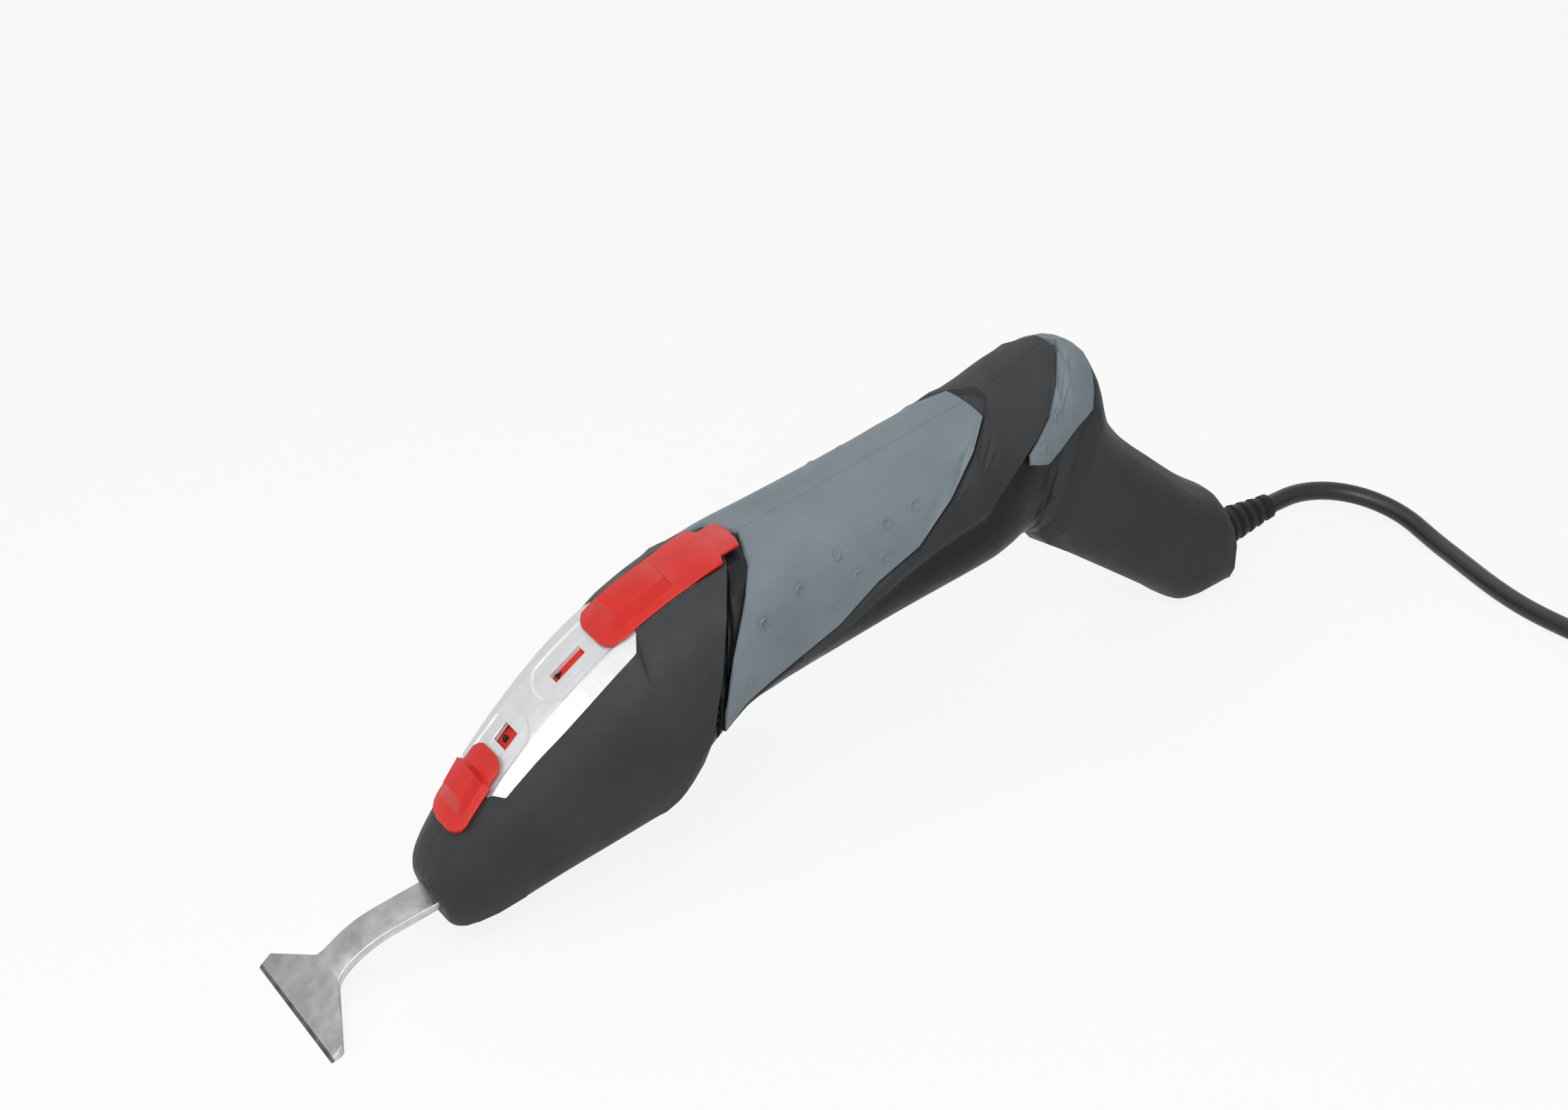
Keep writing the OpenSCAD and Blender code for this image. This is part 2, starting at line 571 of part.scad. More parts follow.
module crank_bush() {
    color("#b08d4a") stand() translate([crank_x, 0, deck_z]) difference() {
        cylinder(r = crank_bush_r, h = bush_top - deck_z);
        translate([0, 0, -1]) cylinder(r = crank_r + run_gap, h = 20);
    }
}

// Rolling bearing: two rings with a shielded groove between them

module bearing(r, bore, len) {
    difference() {
        cylinder(r = r, h = len);
        translate([0, 0, -1]) cylinder(r = bore, h = len + 2);
        for (z = [-0.01, len - 0.49]) translate([0, 0, z]) difference() {
            cylinder(r = r - 1.6, h = 0.5);
            translate([0, 0, -1]) cylinder(r = bore + 1.6, h = 3);
        }
    }
}

module crank_bearing() {
    color(steel) stand() translate([crank_x, 0, bush_top])
        bearing(bearing_r, crank_r + run_gap, deck_top - bush_top);
}

// Crank with its roller, and the crown gear on top

module crank_shaft() {
    color("#8b8d90") stand() translate([crank_x, 0, 0]) union() {
        translate([0, crank_throw, yoke_z + 0.3]) cylinder(r = pin_r, h = flange_z - yoke_z);
        translate([0, 0, flange_z]) cylinder(r = 6.5, h = 1.5);
        translate([0, 0, flange_z + 1]) cylinder(r = crank_r, h = crown_z + 3.5 - flange_z - 1);
    }
}

module crank_roller() {
    color(steel) stand() translate([crank_x, crank_throw, yoke_z + 0.3]) difference() {
        cylinder(r = roller_r, h = flange_z - yoke_z - 0.5);
        translate([0, 0, -1]) cylinder(r = pin_r + run_gap, h = 20);
    }
}

pinion_root = 4.9;
pinion_tip = 6.6;
crown_r = 16.4;
crown_in = 12.2;
disc_t = 4;
module crown_gear() {
    color("#8b8d90") stand() translate([crank_x, 0, crown_z]) difference() {
        union() {
            cylinder(r = crown_r, h = disc_t);
            for (i = [0:crown_teeth - 1]) rotate(i * 360 / crown_teeth)
                translate([crown_in, 0, disc_t - 0.1]) rotate([90, 0, 90])
                    linear_extrude(crown_r - crown_in - 0.2)
                        polygon([[-0.8, 0], [0.8, 0], [0.45, 2.1], [-0.45, 2.1]]);
        }
        translate([0, 0, -1]) cylinder(r = crank_r + seat_gap, h = 20);
        for (a = [30:60:330]) rotate(a) translate([8, 0, -1]) cylinder(r = 1.8, h = 20);
    }
}

function tooth_points(a) = [for (q = [[-11, 0], [-9, 0], [-3.6, 1], [3.6, 1], [9, 0], [11, 0]])
    let (r = mix(pinion_root, pinion_tip, q[1])) [r * cos(a + q[0]), r * sin(a + q[0])]];
module pinion() {
    color("#8b8d90") stand() on_motor(crank_x + 12.4) linear_extrude(4) difference() {
        polygon([for (i = [0:pinion_teeth - 1]) each tooth_points((i + 0.5) * 360 / pinion_teeth)]);
        circle(r = shaft_r + seat_gap);
    }
}

// Motor: turning pieces on the armature shaft

stator_x = grey_x + 7;
stator_end = stator_x + stator_len;
core_x = stator_x + 1;
core_end = stator_end - 1;
comm_x = stator_end + 8;
comm_len = 10;
comm_r = 9;
shield_x = comm_x + 12;
fan_x = wall_x + wall_len + 8;
fan_r = 15.8;
end_seat = shield_x + 5.5;
module on_motor(x) {
    translate([x, 0, motor_z]) rotate([0, 90, 0]) children();
}

module armature_shaft() {
    color(steel) stand() on_motor(crank_x + 11.6) cylinder(r = shaft_r, h = end_seat + 6.5 - crank_x - 11.6);
}

module armature_core() {
    color("#77797c") stand() on_motor(core_x) difference() {
        cylinder(r = armature_r, h = core_end - core_x);
        translate([0, 0, -1]) cylinder(r = shaft_r + seat_gap, h = stator_len + 2);
        for (a = [0:30:330]) rotate(a) translate([armature_r - 3, -0.7, -1]) cube([4, 1.4, stator_len + 2]);
    }
}

module winding_head(h) {
    rotate_extrude() polygon([
        [shaft_r + 0.3, 0], [armature_r - 0.8, 0], [armature_r - 0.6, h * 0.3], [armature_r - 1.6, h * 0.8],
        [armature_r - 3.4, h], [shaft_r + 1.4, h * 0.9], [shaft_r + 0.3, h * 0.6]]);
}

module armature_windings() {
    color("#a5622d") stand() {
        on_motor(core_end + 0.05) winding_head(6);
        on_motor(core_x - 0.05) mirror([0, 0, 1]) winding_head(6);
    }
}

module commutator() {
    color("#b87741") stand() on_motor(comm_x) difference() {
        cylinder(r = comm_r, h = comm_len);
        translate([0, 0, -1]) cylinder(r = shaft_r + seat_gap, h = 20);
        for (a = [0:15:345]) rotate(a) translate([comm_r - 0.8, -0.2, 2]) cube([2, 0.4, comm_len]);
    }
}

module fan() {
    color("#55585b") stand() on_motor(fan_x) difference() {
        union() {
            cylinder(r = 6, h = 11);
            cylinder(r = fan_r, h = 1.4);
            for (a = [0:36:324]) rotate(a) translate([5, -0.6, 0.5]) cube([fan_r - 5.6, 1.2, 9]);
        }
        translate([0, 0, -1]) cylinder(r = shaft_r + seat_gap, h = 20);
    }
}

module front_bearing() {
    color(steel) stand() on_motor(wall_x + 1) bearing(bearing_r, shaft_r + run_gap, 6);
}

rear_r = 8;
module rear_bearing() {
    color(steel) stand() on_motor(end_seat) bearing(rear_r, shaft_r + run_gap, 6);
}

// Motor: standing pieces

pole_r = armature_r + 0.7;
window_in = pole_r + 1.3;
window_out = stator_r - 2.2;
module sector(from, to, r) {
    mid = (from + to) / 2;
    polygon([
        [0, 0], [r * cos(from), r * sin(from)], [1.2 * r * cos(mid), 1.2 * r * sin(mid)],
        [r * cos(to), r * sin(to)]]);
}

module ring_part(from, to, inner, outer) {
    intersection() {
        difference() {
            circle(r = outer);
            circle(r = inner);
        }
        sector(from, to, 2 * outer);
    }
}

module stator() {
    color("#6b6e71") stand() on_motor(stator_x) linear_extrude(stator_len) difference() {
        circle(r = stator_r);
        circle(r = pole_r);
        for (a = [45:90:315]) ring_part(a - 28, a + 28, window_in, window_out);
    }
}

module field_coils() {
    color("#a5622d") stand() union() {
        for (a = [45:90:315]) on_motor(stator_x - 6.5) linear_extrude(stator_len + 13)
            ring_part(a - 24, a + 24, window_in + 0.4, window_out - 0.4);
        for (x = [stator_x - 6.5, stator_end + 0.5]) on_motor(x) linear_extrude(6) difference() {
            circle(r = window_out - 0.4);
            circle(r = window_in + 0.4);
        }
    }
}

module end_shield() {
    color("#4a4d50") stand() difference() {
        union() {
            on_motor(shield_x) cylinder(r = stator_r, h = 3.5);
            on_motor(shield_x + 1) cylinder(r = 11, h = 11.6);
        }
        on_motor(shield_x - 1) cylinder(r = shaft_r + 1.4, h = 20);
        on_motor(end_seat) cylinder(r = rear_r + seat_gap, h = 20);
        for (a = [45:90:315]) on_motor(shield_x - 1) rotate(a) translate([14.6, 0, 0])
            cylinder(r = 2.4, h = 20);
    }
}

brush_w = 5;
module brush_holders() {
    color("#c2a25a") stand() for (m = [0, 1]) mirror([0, m, 0]) difference() {
        block([comm_x + 0.5, comm_r + 1, motor_z - 4.4], [shield_x, stator_r - 2, motor_z + 4.4]);
        block([comm_x + 2.4, comm_r, motor_z - brush_w / 2 - 0.1],
              [comm_x + 2.6 + brush_w, stator_r - 3.5, motor_z + brush_w / 2 + 0.1]);
    }
}

module carbon_brushes() {
    color("#2e2f31") stand() for (m = [0, 1]) mirror([0, m, 0]) difference() {
        block([comm_x + 2.5, comm_r - 1, motor_z - brush_w / 2],
              [comm_x + 2.5 + brush_w, stator_r - 4.2, motor_z + brush_w / 2]);
        on_motor(comm_x - 1) cylinder(r = comm_r + run_gap, h = 20);
    }
}

module control_board() {
    color("#2f6b46") stand() union() {
        block([wall_x, -7.5, frame_top], [fan_x - 1.5, 7.5, frame_top + 1.4]);
        block([wall_x + wall_len + 0.8, -6, frame_top - 6], [fan_x - 2, 6, frame_top + 0.5]);
    }
}

module capacitor() {
    color("#c9a13b") stand() block([end_seat + 7.4, -6.5, motor_z - 12], [end_seat + 19, 6.5, motor_z + 3]);
}

// Mains lead: clamp and strain relief in the heel

module on_exit(w) {
    translate(butt + exit_way * w) rotate([0, 90 - rest_pitch, 0]) children();
}

clamp_w = -17;
clamp_len = 7;
clamp_floor = skin(24.7, 1, wall).z + 2.2;
clamp_z = (butt - exit_way * 14).z;
clamp_at = butt.x + clamp_w;
screw_y = cord_d / 2 + 2.2;
module cord_clamp() {
    color("#5b5e61") stand() difference() {
        block([clamp_at, -screw_y - 2.6, clamp_floor],
              [clamp_at + clamp_len, screw_y + 2.6, clamp_z + cord_d / 2 + 4]);
        on_exit(clamp_w - 10) cylinder(r = cord_d / 2 + 0.02, h = 30);
        for (y = [-screw_y, screw_y]) translate([clamp_at + clamp_len / 2, y, clamp_floor + 3])
            cylinder(r = 1.35, h = 40);
    }
}

module clamp_screws() {
    color(steel) stand() for (y = [-screw_y, screw_y])
        translate([clamp_at + clamp_len / 2, y, 0]) difference() {
        union() {
            translate([0, 0, clamp_floor + 3.4])
                cylinder(r = 1.3, h = clamp_z + cord_d / 2 + 1 - clamp_floor);
            translate([0, 0, clamp_z + cord_d / 2 + 4.02]) cylinder(r = 2.4, h = 1.8);
        }
        translate([-1.7, -0.3, clamp_z + cord_d / 2 + 5]) cube([3.4, 0.6, 3]);
    }
}

guard_r = cord_d / 2 + 3.5;
module cord_guard() {
    color(black) stand() on_exit(0) rotate_extrude() polygon(concat(
        [[cord_d / 2 + 0.05, -7.5], [guard_r, -7.5], [guard_r, -5.5], [guard_neck_r, -5.2],
         [guard_neck_r, 1.2], [guard_r, 1.4], [guard_r - 0.1, 4]],
        [for (k = [0:4])
            let (w = mix(5, guard_len - 4, k / 4), r = mix(guard_r - 0.1, cord_d / 2 + 1.4, k / 4))
            each [[r, w - 0.6], [r - 0.7, w], [r - 0.75, w + 1.2], [r - 0.2, w + 1.7]]],
        [[cord_d / 2 + 1, guard_len], [cord_d / 2 + 0.05, guard_len]]));
}

module cord_inlet() {
    color(black) stand() on_exit(clamp_w - 8) cylinder(r = cord_d / 2, h = guard_len - clamp_w + 8);
}

// Free cord: one tube along a hand-laid route from the strain relief, drawn on the floor

leave = row(butt + exit_way * guard_len);
low = cord_d / 2 + 0.1;
coil_r_in = cord_d * 4.1;
coil_pitch = cord_d + 0.8;
coil_r_out = coil_r_in + coil_turns * coil_pitch;
tie_t = 1.2;
plug_h = 14;
coil_z = tie_t + 0.3 + cord_d / 2;
coil_y = -134;
lay_x = 36;
coil_mid = [leave.x + lay_x + coil_r_out, coil_y];
turn_r = cord_d * 5;
function ease(t) = t * t * (3 - 2 * t);
sway = 3.6;
run_end = coil_y + cord_d;
ROUTE = concat(
    [[0, 0, leave.z]],
    [for (a = [0:7.5:90])
        [lay_x - turn_r + turn_r * sin(a), turn_r * cos(a) - turn_r, mix(leave.z, low, ease(a / 120))]],
    [for (k = [1:16]) let (f = k / 16) [
        lay_x - sway * (1 - cos(360 * f)) / 2, mix(-turn_r, run_end, f),
        f < 0.15 ? mix(leave.z, low, ease(0.75 + f / 0.6)) : mix(low, coil_z, ease(max(0, 2 * f - 1)))]]);

function unit(v) = v / norm(v);
function ring_at(p, way, sides) = let (a = unit(cross(way, [0, 0, 1])), b = cross(a, unit(way)))
    [for (k = [0:sides - 1]) let (w = 360 * k / sides) p + cord_d / 2 * (cos(w) * a + sin(w) * b)];
function ways(p, first, last) = [for (i = [0:len(p) - 1])
    i == 0 ? first : i == len(p) - 1 ? last : p[i + 1] - p[i - 1]];
module cord_tube(p, first, last, sides) {
    w = ways(p, first, last);
    loft([for (i = [0:len(p) - 1]) ring_at(p[i], w[i], sides)]);
}

module cord_run() {
    color(black) cord_tube([for (p = ROUTE) p + [leave.x, 0, 0]], [1, 0, 0], [0, -1, 0], 10);
}

// Coiled cord: in along the floor, up a layer at the middle, out again above, then over the top to the plug

coil_all = 2 * coil_turns;
function coil_height(t) = coil_z + coil_pitch * (3 * pow(coil_climb(t), 2) - 2 * pow(coil_climb(t), 3));
function coil_climb(t) = min(1, max(0, (t - coil_turns + 0.25) * 2));
function coil_radius(t) = coil_r_in + coil_pitch * abs(t - coil_turns);
function round_coil(t, r, z) = [coil_mid.x - r * cos(360 * t), coil_mid.y - r * sin(360 * t), z];
coil_top = coil_z + coil_pitch + cord_d / 2;
plug_z = coil_top + plug_h / 2 + 0.2;
plug_r = coil_r_in + 1.75 * coil_pitch;
over_top = 0.5;
LEAD_OUT = concat(
    [for (k = [1:12]) round_coil(
        coil_all + over_top * k / 12, mix(coil_r_out, plug_r, ease(max(0, (k - 4) / 8))),
        mix(coil_height(coil_all), plug_z, ease(min(1, k / 8))))],
    [for (d = [5, 10]) [coil_mid.x + plug_r, coil_y + d, plug_z]]);
COIL = concat(
    [[coil_mid.x - coil_r_out, coil_y + cord_d, coil_z]],
    [for (i = [0:24 * coil_all]) round_coil(i / 24, coil_radius(i / 24), coil_height(i / 24))], LEAD_OUT);
coil_gap = min([for (i = [0:2:len(COIL) - 13]) for (j = [i + 12:len(COIL) - 1])
    norm(COIL[i] - COIL[j])]) - cord_d;
module cord_coil() {
    echo(coil_gap = coil_gap);
    color(black) cord_tube(COIL, [0, -1, 0], [0, 1, 0], 6);
}

tie_w = 10;
module coil_tie() {
    from = [coil_mid.x + coil_r_in - cord_d / 2 - 1.4, coil_y - tie_w / 2, tie_t];
    to = [coil_mid.x + coil_r_out - coil_pitch / 2 + cord_d / 2 + 1, coil_y + tie_w / 2, coil_top + 0.5];
    side = [tie_t, 0, tie_t];
    color("#3a3c3f") difference() {
        block(from - side, to + side);
        block(from - [0, 1, 0], to + [0, 1, 0]);
    }
}

// Two-pin plug lying on the coil at the end of the lead

plug_way = [coil_mid.x + plug_r, coil_y + 10, plug_z];
pin_span = 19;
module at_plug(d) {
    translate(plug_way) rotate([-90, 0, 0]) translate([0, 0, d]) children();
}

module stadium(w, h, len) {
    union() {
        translate([-w / 2 + h / 2, -h / 2, 0]) cube([w - h, h, len]);
        for (x = [-1, 1]) translate([x * (w - h) / 2, 0, 0]) cylinder(r = h / 2, h = len);
    }
}

module plug_body() {
    color(black) union() {
        at_plug(0) difference() {
            cylinder(r1 = cord_d / 2 + 1.1, r2 = cord_d / 2 + 2.2, h = 12.5);
            translate([0, 0, -1]) cylinder(r = cord_d / 2 + 0.02, h = 1.02);
        }
        at_plug(12) hull() {
            stadium(15, 12, 1);
            translate([0, 0, 10]) stadium(30, 13.4, 1);
        }
        at_plug(22) stadium(30, 13.4, 8);
        at_plug(29.9) stadium(34.6, plug_h, 5);
    }
}

module plug_pins() {
    color("#c9b26a") for (x = [-1, 1]) at_plug(34.9) translate([x * pin_span / 2, 0, 0]) union() {
        cylinder(r = 2, h = 18);
        translate([0, 0, 18]) cylinder(r1 = 2, r2 = 1.2, h = 1);
    }
}

shell_left();
shell_right();
grip_pad_left();
grip_pad_right();
palm_pad_left();
palm_pad_right();
top_plate();
speed_slider();
lock_slider();
blade();
plunger();
clamp_shoe();
plunger_bush();
gear_frame();
crank_shaft();
crank_roller();
crank_bush();
crank_bearing();
crown_gear();
armature_shaft();
armature_core();
armature_windings();
commutator();
fan();
pinion();
front_bearing();
rear_bearing();
stator();
field_coils();
end_shield();
brush_holders();
carbon_brushes();
control_board();
capacitor();
cord_clamp();
clamp_screws();
cord_guard();
cord_inlet();
cord_run();
cord_coil();
coil_tie();
plug_body();
plug_pins();
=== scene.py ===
import json
import math

import bmesh
import bpy
from mathutils import Matrix, Vector
from mathutils.bvhtree import BVHTree


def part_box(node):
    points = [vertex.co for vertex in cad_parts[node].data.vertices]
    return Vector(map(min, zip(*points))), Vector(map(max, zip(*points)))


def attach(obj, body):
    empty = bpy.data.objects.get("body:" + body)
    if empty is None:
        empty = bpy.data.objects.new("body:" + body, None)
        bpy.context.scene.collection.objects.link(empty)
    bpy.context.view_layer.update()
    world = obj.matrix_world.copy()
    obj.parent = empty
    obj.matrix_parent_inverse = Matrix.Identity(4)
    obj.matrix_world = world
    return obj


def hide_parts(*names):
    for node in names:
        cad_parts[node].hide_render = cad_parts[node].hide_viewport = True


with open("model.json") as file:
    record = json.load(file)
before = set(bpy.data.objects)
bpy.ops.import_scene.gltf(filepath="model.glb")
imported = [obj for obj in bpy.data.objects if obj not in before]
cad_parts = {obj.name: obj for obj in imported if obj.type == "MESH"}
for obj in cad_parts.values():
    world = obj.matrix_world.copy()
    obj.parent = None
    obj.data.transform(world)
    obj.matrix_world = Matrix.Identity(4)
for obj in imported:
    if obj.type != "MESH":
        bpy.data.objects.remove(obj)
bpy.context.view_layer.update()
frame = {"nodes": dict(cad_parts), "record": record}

bl_info = {
    "name": "Power scraper",
    "version": (1, 0, 0),
    "blender": (4, 5, 0),
    "location": "View3D > Sidebar > Scraper",
    "description": "Dresses the power scraper's frame with its finished pieces",
    "category": "Add Mesh",
}

JOINTS = {joint["name"]: joint for joint in frame["record"]["behaviour"]["joints"]}
MM = 0.001

# The tool's own axes: along the plunger to the rear, across and up

ALONG = Vector(JOINTS["plunger_stroke"]["axis"])
ACROSS = Vector((0, 1, 0))
UP = Vector((-ALONG.z, 0, ALONG.x))
EDGE = Vector((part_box("blade")[0].x, 0, 0))


def way(x, y, z):
    """A direction of the tool in the row frame."""
    return ALONG * x + ACROSS * y + UP * z


def tool(x, y, z):
    """A point of the tool, in millimetres from the cutting edge, in the row frame."""
    return EDGE + way(x, y, z) * MM


def on_tool(point):
    """A point of the row frame in the tool's millimetres."""
    d = point - EDGE
    return Vector((d.dot(ALONG), d.y, d.dot(UP))) / MM


def between(x, table):
    """The value at x in a table of places and values, by straight lines."""
    for (a, va), (b, vb) in zip(table, table[1:]):
        if x <= b:
            return va if x <= a else va + (vb - va) * (x - a) / (b - a)
    return table[-1][1]


def ease(t):
    """A smooth step from 0 to 1."""
    t = min(1, max(0, t))
    return t * t * (3 - 2 * t)


def mix(a, b, t):
    """The value a share t of the way from a to b."""
    return a + (b - a) * t


def within(x, ends):
    """Whether x lies between two ends."""
    return ends[0] < x < ends[1]


def part_way(x, ends):
    """How far x is from the first of two ends to the second, as a share."""
    return (x - ends[0]) / (ends[1] - ends[0])


def shade(code):
    """A colour of six hexadecimal digits, in linear values."""
    parts = [int(code[i:i + 2], 16) / 255 for i in (0, 2, 4)]
    return [c / 12.92 if c <= 0.04045 else ((c + 0.055) / 1.055) ** 2.4 for c in parts]


def colour(name, code, told):
    """A colour setting with its default."""
    return bpy.props.FloatVectorProperty(
        name=name, description=told, default=shade(code), subtype="COLOR", size=3, min=0, max=1)


def length(name, metres, told):
    """A length setting with its default."""
    return bpy.props.FloatProperty(name=name, description=told, default=metres, min=0, unit="LENGTH")


class ScraperColours(bpy.types.PropertyGroup):
    """Colours of the scraper's finishes."""

    shell: colour("Shell", "3a3b3d", "Moulded black of the housing")
    satin: colour("Satin", "191a1c", "Smoother black of the collar and the lower panel")
    grip: colour("Grip", "7d888f", "Grey of the soft pads")
    plate: colour("Plate", "d6d8d9", "Silver of the dial plate")
    slider: colour("Sliders", "d42a22", "Red of the two sliders")
    steel: colour("Steel", "a2a3a4", "Steel of the blade")
    cord: colour("Cord", "17181a", "Black of the lead")
    floor: colour("Floor", "f4f4f4", "Pale floor")


class ScraperSizes(bpy.types.PropertyGroup):
    """Sizes of the scraper's dressing."""

    cord: length("Cord", 0.006, "Diameter of the lead")
    grain: length("Grain", 0.0005, "Size of the shell's moulded grain")
    track: length("Track", 0.0006, "Depth of the tracks in the dial plate")
    shoulder: length("Shoulder", 0.0012, "Rise of the shell beside the speed slider")
    numeral: length("Numeral", 0.0026, "Height of the numerals beside the speed window")
    fin: length("Fin", 0.0013, "Thickness of the fins in the air vents")


def colours():
    """The scene's colour settings."""
    return bpy.context.scene.scraper_colours


def sizes():
    """The scene's size settings."""
    return bpy.context.scene.scraper_sizes


# Finishes

PATTERN_RANGE = (0.3, 0.7)


def scaled(rgb, k):
    """A colour made darker or lighter by a factor."""
    return [min(1, c * k) for c in rgb]


def joined(tree, kind, sources, **values):
    """Adds a shader node with its values and sources by socket."""
    node = tree.nodes.new("ShaderNode" + kind)
    for socket, value in values.items():
        node.inputs[socket].default_value = value
    for socket, source in sources.items():
        tree.links.new(source, node.inputs[socket])
    return node


class Finish:
    """A material built up from noise on Object coordinates."""

    def __init__(self, name, roughness, metallic=0.0, specular=0.5):
        self.material = bpy.data.materials.new(name)
        self.material.use_nodes = True
        self.tree = self.material.node_tree
        self.shader = self.tree.nodes["Principled BSDF"]
        self.set("Roughness", roughness)
        self.set("Metallic", metallic)
        self.set("Specular IOR Level", specular)
        self.spot = joined(self.tree, "TexCoord", {}).outputs["Object"]

    def set(self, name, value):
        self.shader.inputs[name].default_value = value

    def feed(self, node, name):
        """Joins a node to a socket of the shader."""
        self.tree.links.new(node.outputs[0], self.shader.inputs[name])

    def noise(self, size, detail, drawn=None):
        """Noise of a size in metres, which a turn and a scale can draw out."""
        spot = self.spot
        if drawn:
            turn, scale = drawn
            spot = joined(self.tree, "Mapping", {"Vector": spot}, Rotation=turn, Scale=scale).outputs[0]
        return joined(self.tree, "TexNoise", {"Vector": spot}, Scale=1 / size, Detail=detail).outputs[0]

    def clouded(self, rgb, size, detail, shades, places=PATTERN_RANGE):
        """Colours the surface in clouds, by shades of one colour."""
        node = joined(self.tree, "ValToRGB", {0: self.noise(size, detail)})
        ramp = node.color_ramp
        while len(ramp.elements) < len(shades):
            ramp.elements.new(0.5)
        for element, place, k in zip(ramp.elements, places, shades):
            element.position = place
            element.color = (*scaled(rgb, k), 1)
        self.feed(node, "Base Color")

    def rough(self, pattern, low, high):
        """Varies the roughness with a pattern, between two values."""
        node = joined(self.tree, "MapRange", {0: pattern})
        for socket, value in zip(node.inputs[1:5], (*PATTERN_RANGE, low, high)):
            socket.default_value = value
        self.feed(node, "Roughness")

    def relief(self, pattern, depth, strength):
        """Raises the surface by a pattern, to a depth in metres."""
        node = joined(self.tree, "Bump", {"Height": pattern}, Strength=strength, Distance=depth)
        self.feed(node, "Normal")


def moulded(name, rgb, roughness, grain, depth):
    """Moulded plastic with a spark-eroded grain and faint cloudiness."""
    finish = Finish(name, roughness, specular=0.16)
    finish.clouded(rgb, size=0.03, detail=3, shades=(0.86, 1.14))
    finish.rough(finish.noise(size=grain * 6, detail=4), roughness - 0.06, roughness + 0.06)
    finish.relief(finish.noise(size=grain, detail=6), depth, strength=0.7)
    return finish


def soft_rubber(name, rgb):
    """Soft overmoulded rubber: matt, with a dusty bloom and fine tooth."""
    finish = Finish(name, roughness=0.62, specular=0.2)
    finish.clouded(rgb, size=0.018, detail=5, shades=(0.92, 1.07), places=(0.32, 0.68))
    finish.rough(finish.noise(size=0.004, detail=4), low=0.55, high=0.7)
    finish.relief(finish.noise(size=0.0007, detail=5), depth=0.00006, strength=0.6)
    finish.set("Sheen Weight", 0.12)
    finish.set("Sheen Roughness", 0.5)
    return finish


def glossy_plastic(name, rgb, roughness):
    """Glossier moulded plastic with a faint orange peel."""
    finish = Finish(name, roughness, specular=0.35)
    finish.clouded(rgb, size=0.012, detail=3, shades=(0.93, 1.06))
    finish.rough(finish.noise(size=0.0025, detail=4), roughness - 0.05, roughness + 0.08)
    finish.relief(finish.noise(size=0.0011, detail=3), depth=0.00005, strength=0.5)
    return finish


def silver_paint(name, rgb, metallic):
    """Silver paint over plastic, with a faint cloud and soft sheen."""
    finish = Finish(name, 0.36, metallic)
    finish.clouded(rgb, size=0.006, detail=3, shades=(0.95, 1.04))
    finish.rough(finish.noise(size=0.0012, detail=3), low=0.32, high=0.42)
    return finish


def metal(name, rgb, roughness, drawn=None, wear=0.12):
    """Metal with stained patches and a fine grain, drawn out by a turn and a scale."""
    finish = Finish(name, roughness, metallic=1.0)
    finish.clouded(rgb, size=0.006, detail=8, shades=(1 - wear, 1, 1 + wear), places=(0.3, 0.5, 0.72))
    line = finish.noise(size=0.0006, detail=6, drawn=drawn)
    finish.rough(line, roughness - 0.1, roughness + 0.12)
    finish.relief(line, depth=0.00003, strength=0.5)
    return finish


# Making pieces

WELD = 0.000004
CUT_REACH = 1e-7
SIDES = (("left", -1), ("right", 1))

# Places above and beside all of the tool, in its millimetres, from which rays are cast

SKY = 130
ASIDE = 60

# How squarely a face looks a way, as the cosine between the two

FACING = 0.2
SQUARELY = 0.9


def given(thing, **settings):
    """A thing with its settings made."""
    for key, value in settings.items():
        setattr(thing, key, value)
    return thing


def linked(name, data):
    """Adds an object with its data to the scene."""
    thing = bpy.data.objects.new(name, data)
    bpy.context.collection.objects.link(thing)
    return thing


def meshed(name, bm, finishes=()):
    """Adds an object made from a bmesh, which is freed."""
    mesh = bpy.data.meshes.new(name)
    bm.to_mesh(mesh)
    bm.free()
    for finish in finishes:
        mesh.materials.append(finish.material)
    return linked(name, mesh)


def placed(name, bm, finishes, nodes=(), body="housing"):
    """A piece from a bmesh, which rides on a body and stands for its CAD nodes."""
    piece = meshed(name, bm, finishes)
    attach(piece, body)
    if nodes:
        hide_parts(*nodes)
    return piece


def copied(node):
    """A merged copy of a CAD node's mesh, in quads where it can be."""
    bm = bmesh.new()
    bm.from_mesh(frame["nodes"][node].data)
    bmesh.ops.remove_doubles(bm, verts=bm.verts, dist=WELD)
    bmesh.ops.join_triangles(
        bm, faces=bm.faces, angle_face_threshold=math.radians(30), angle_shape_threshold=math.radians(70))
    smoothed(bm)
    return bm


def smoothed(bm):
    """Shades all of a mesh smooth."""
    for face in bm.faces:
        face.smooth = True


def creased(bm, angle):
    """Marks sharp the edges that turn by more than an angle in degrees."""
    for edge in bm.edges:
        edge.smooth = len(edge.link_faces) == 2 and edge.calc_face_angle(0) <= math.radians(angle)


def freed(bm):
    """Weighs the vertices off the sharp edges, which may be evened out."""
    weight = bm.verts.layers.deform.verify()
    for vertex in bm.verts:
        if all(edge.smooth for edge in vertex.link_edges):
            vertex[weight][0] = 1.0


def faired(piece, times):
    """Splits a piece's facets and evens out all but its creases."""
    piece.vertex_groups.new(name="free")
    given(
        piece.modifiers.new("Split", "SUBSURF"), subdivision_type="SIMPLE", levels=2, render_levels=2)
    given(piece.modifiers.new("Even", "SMOOTH"), factor=0.5, iterations=times, vertex_group="free")


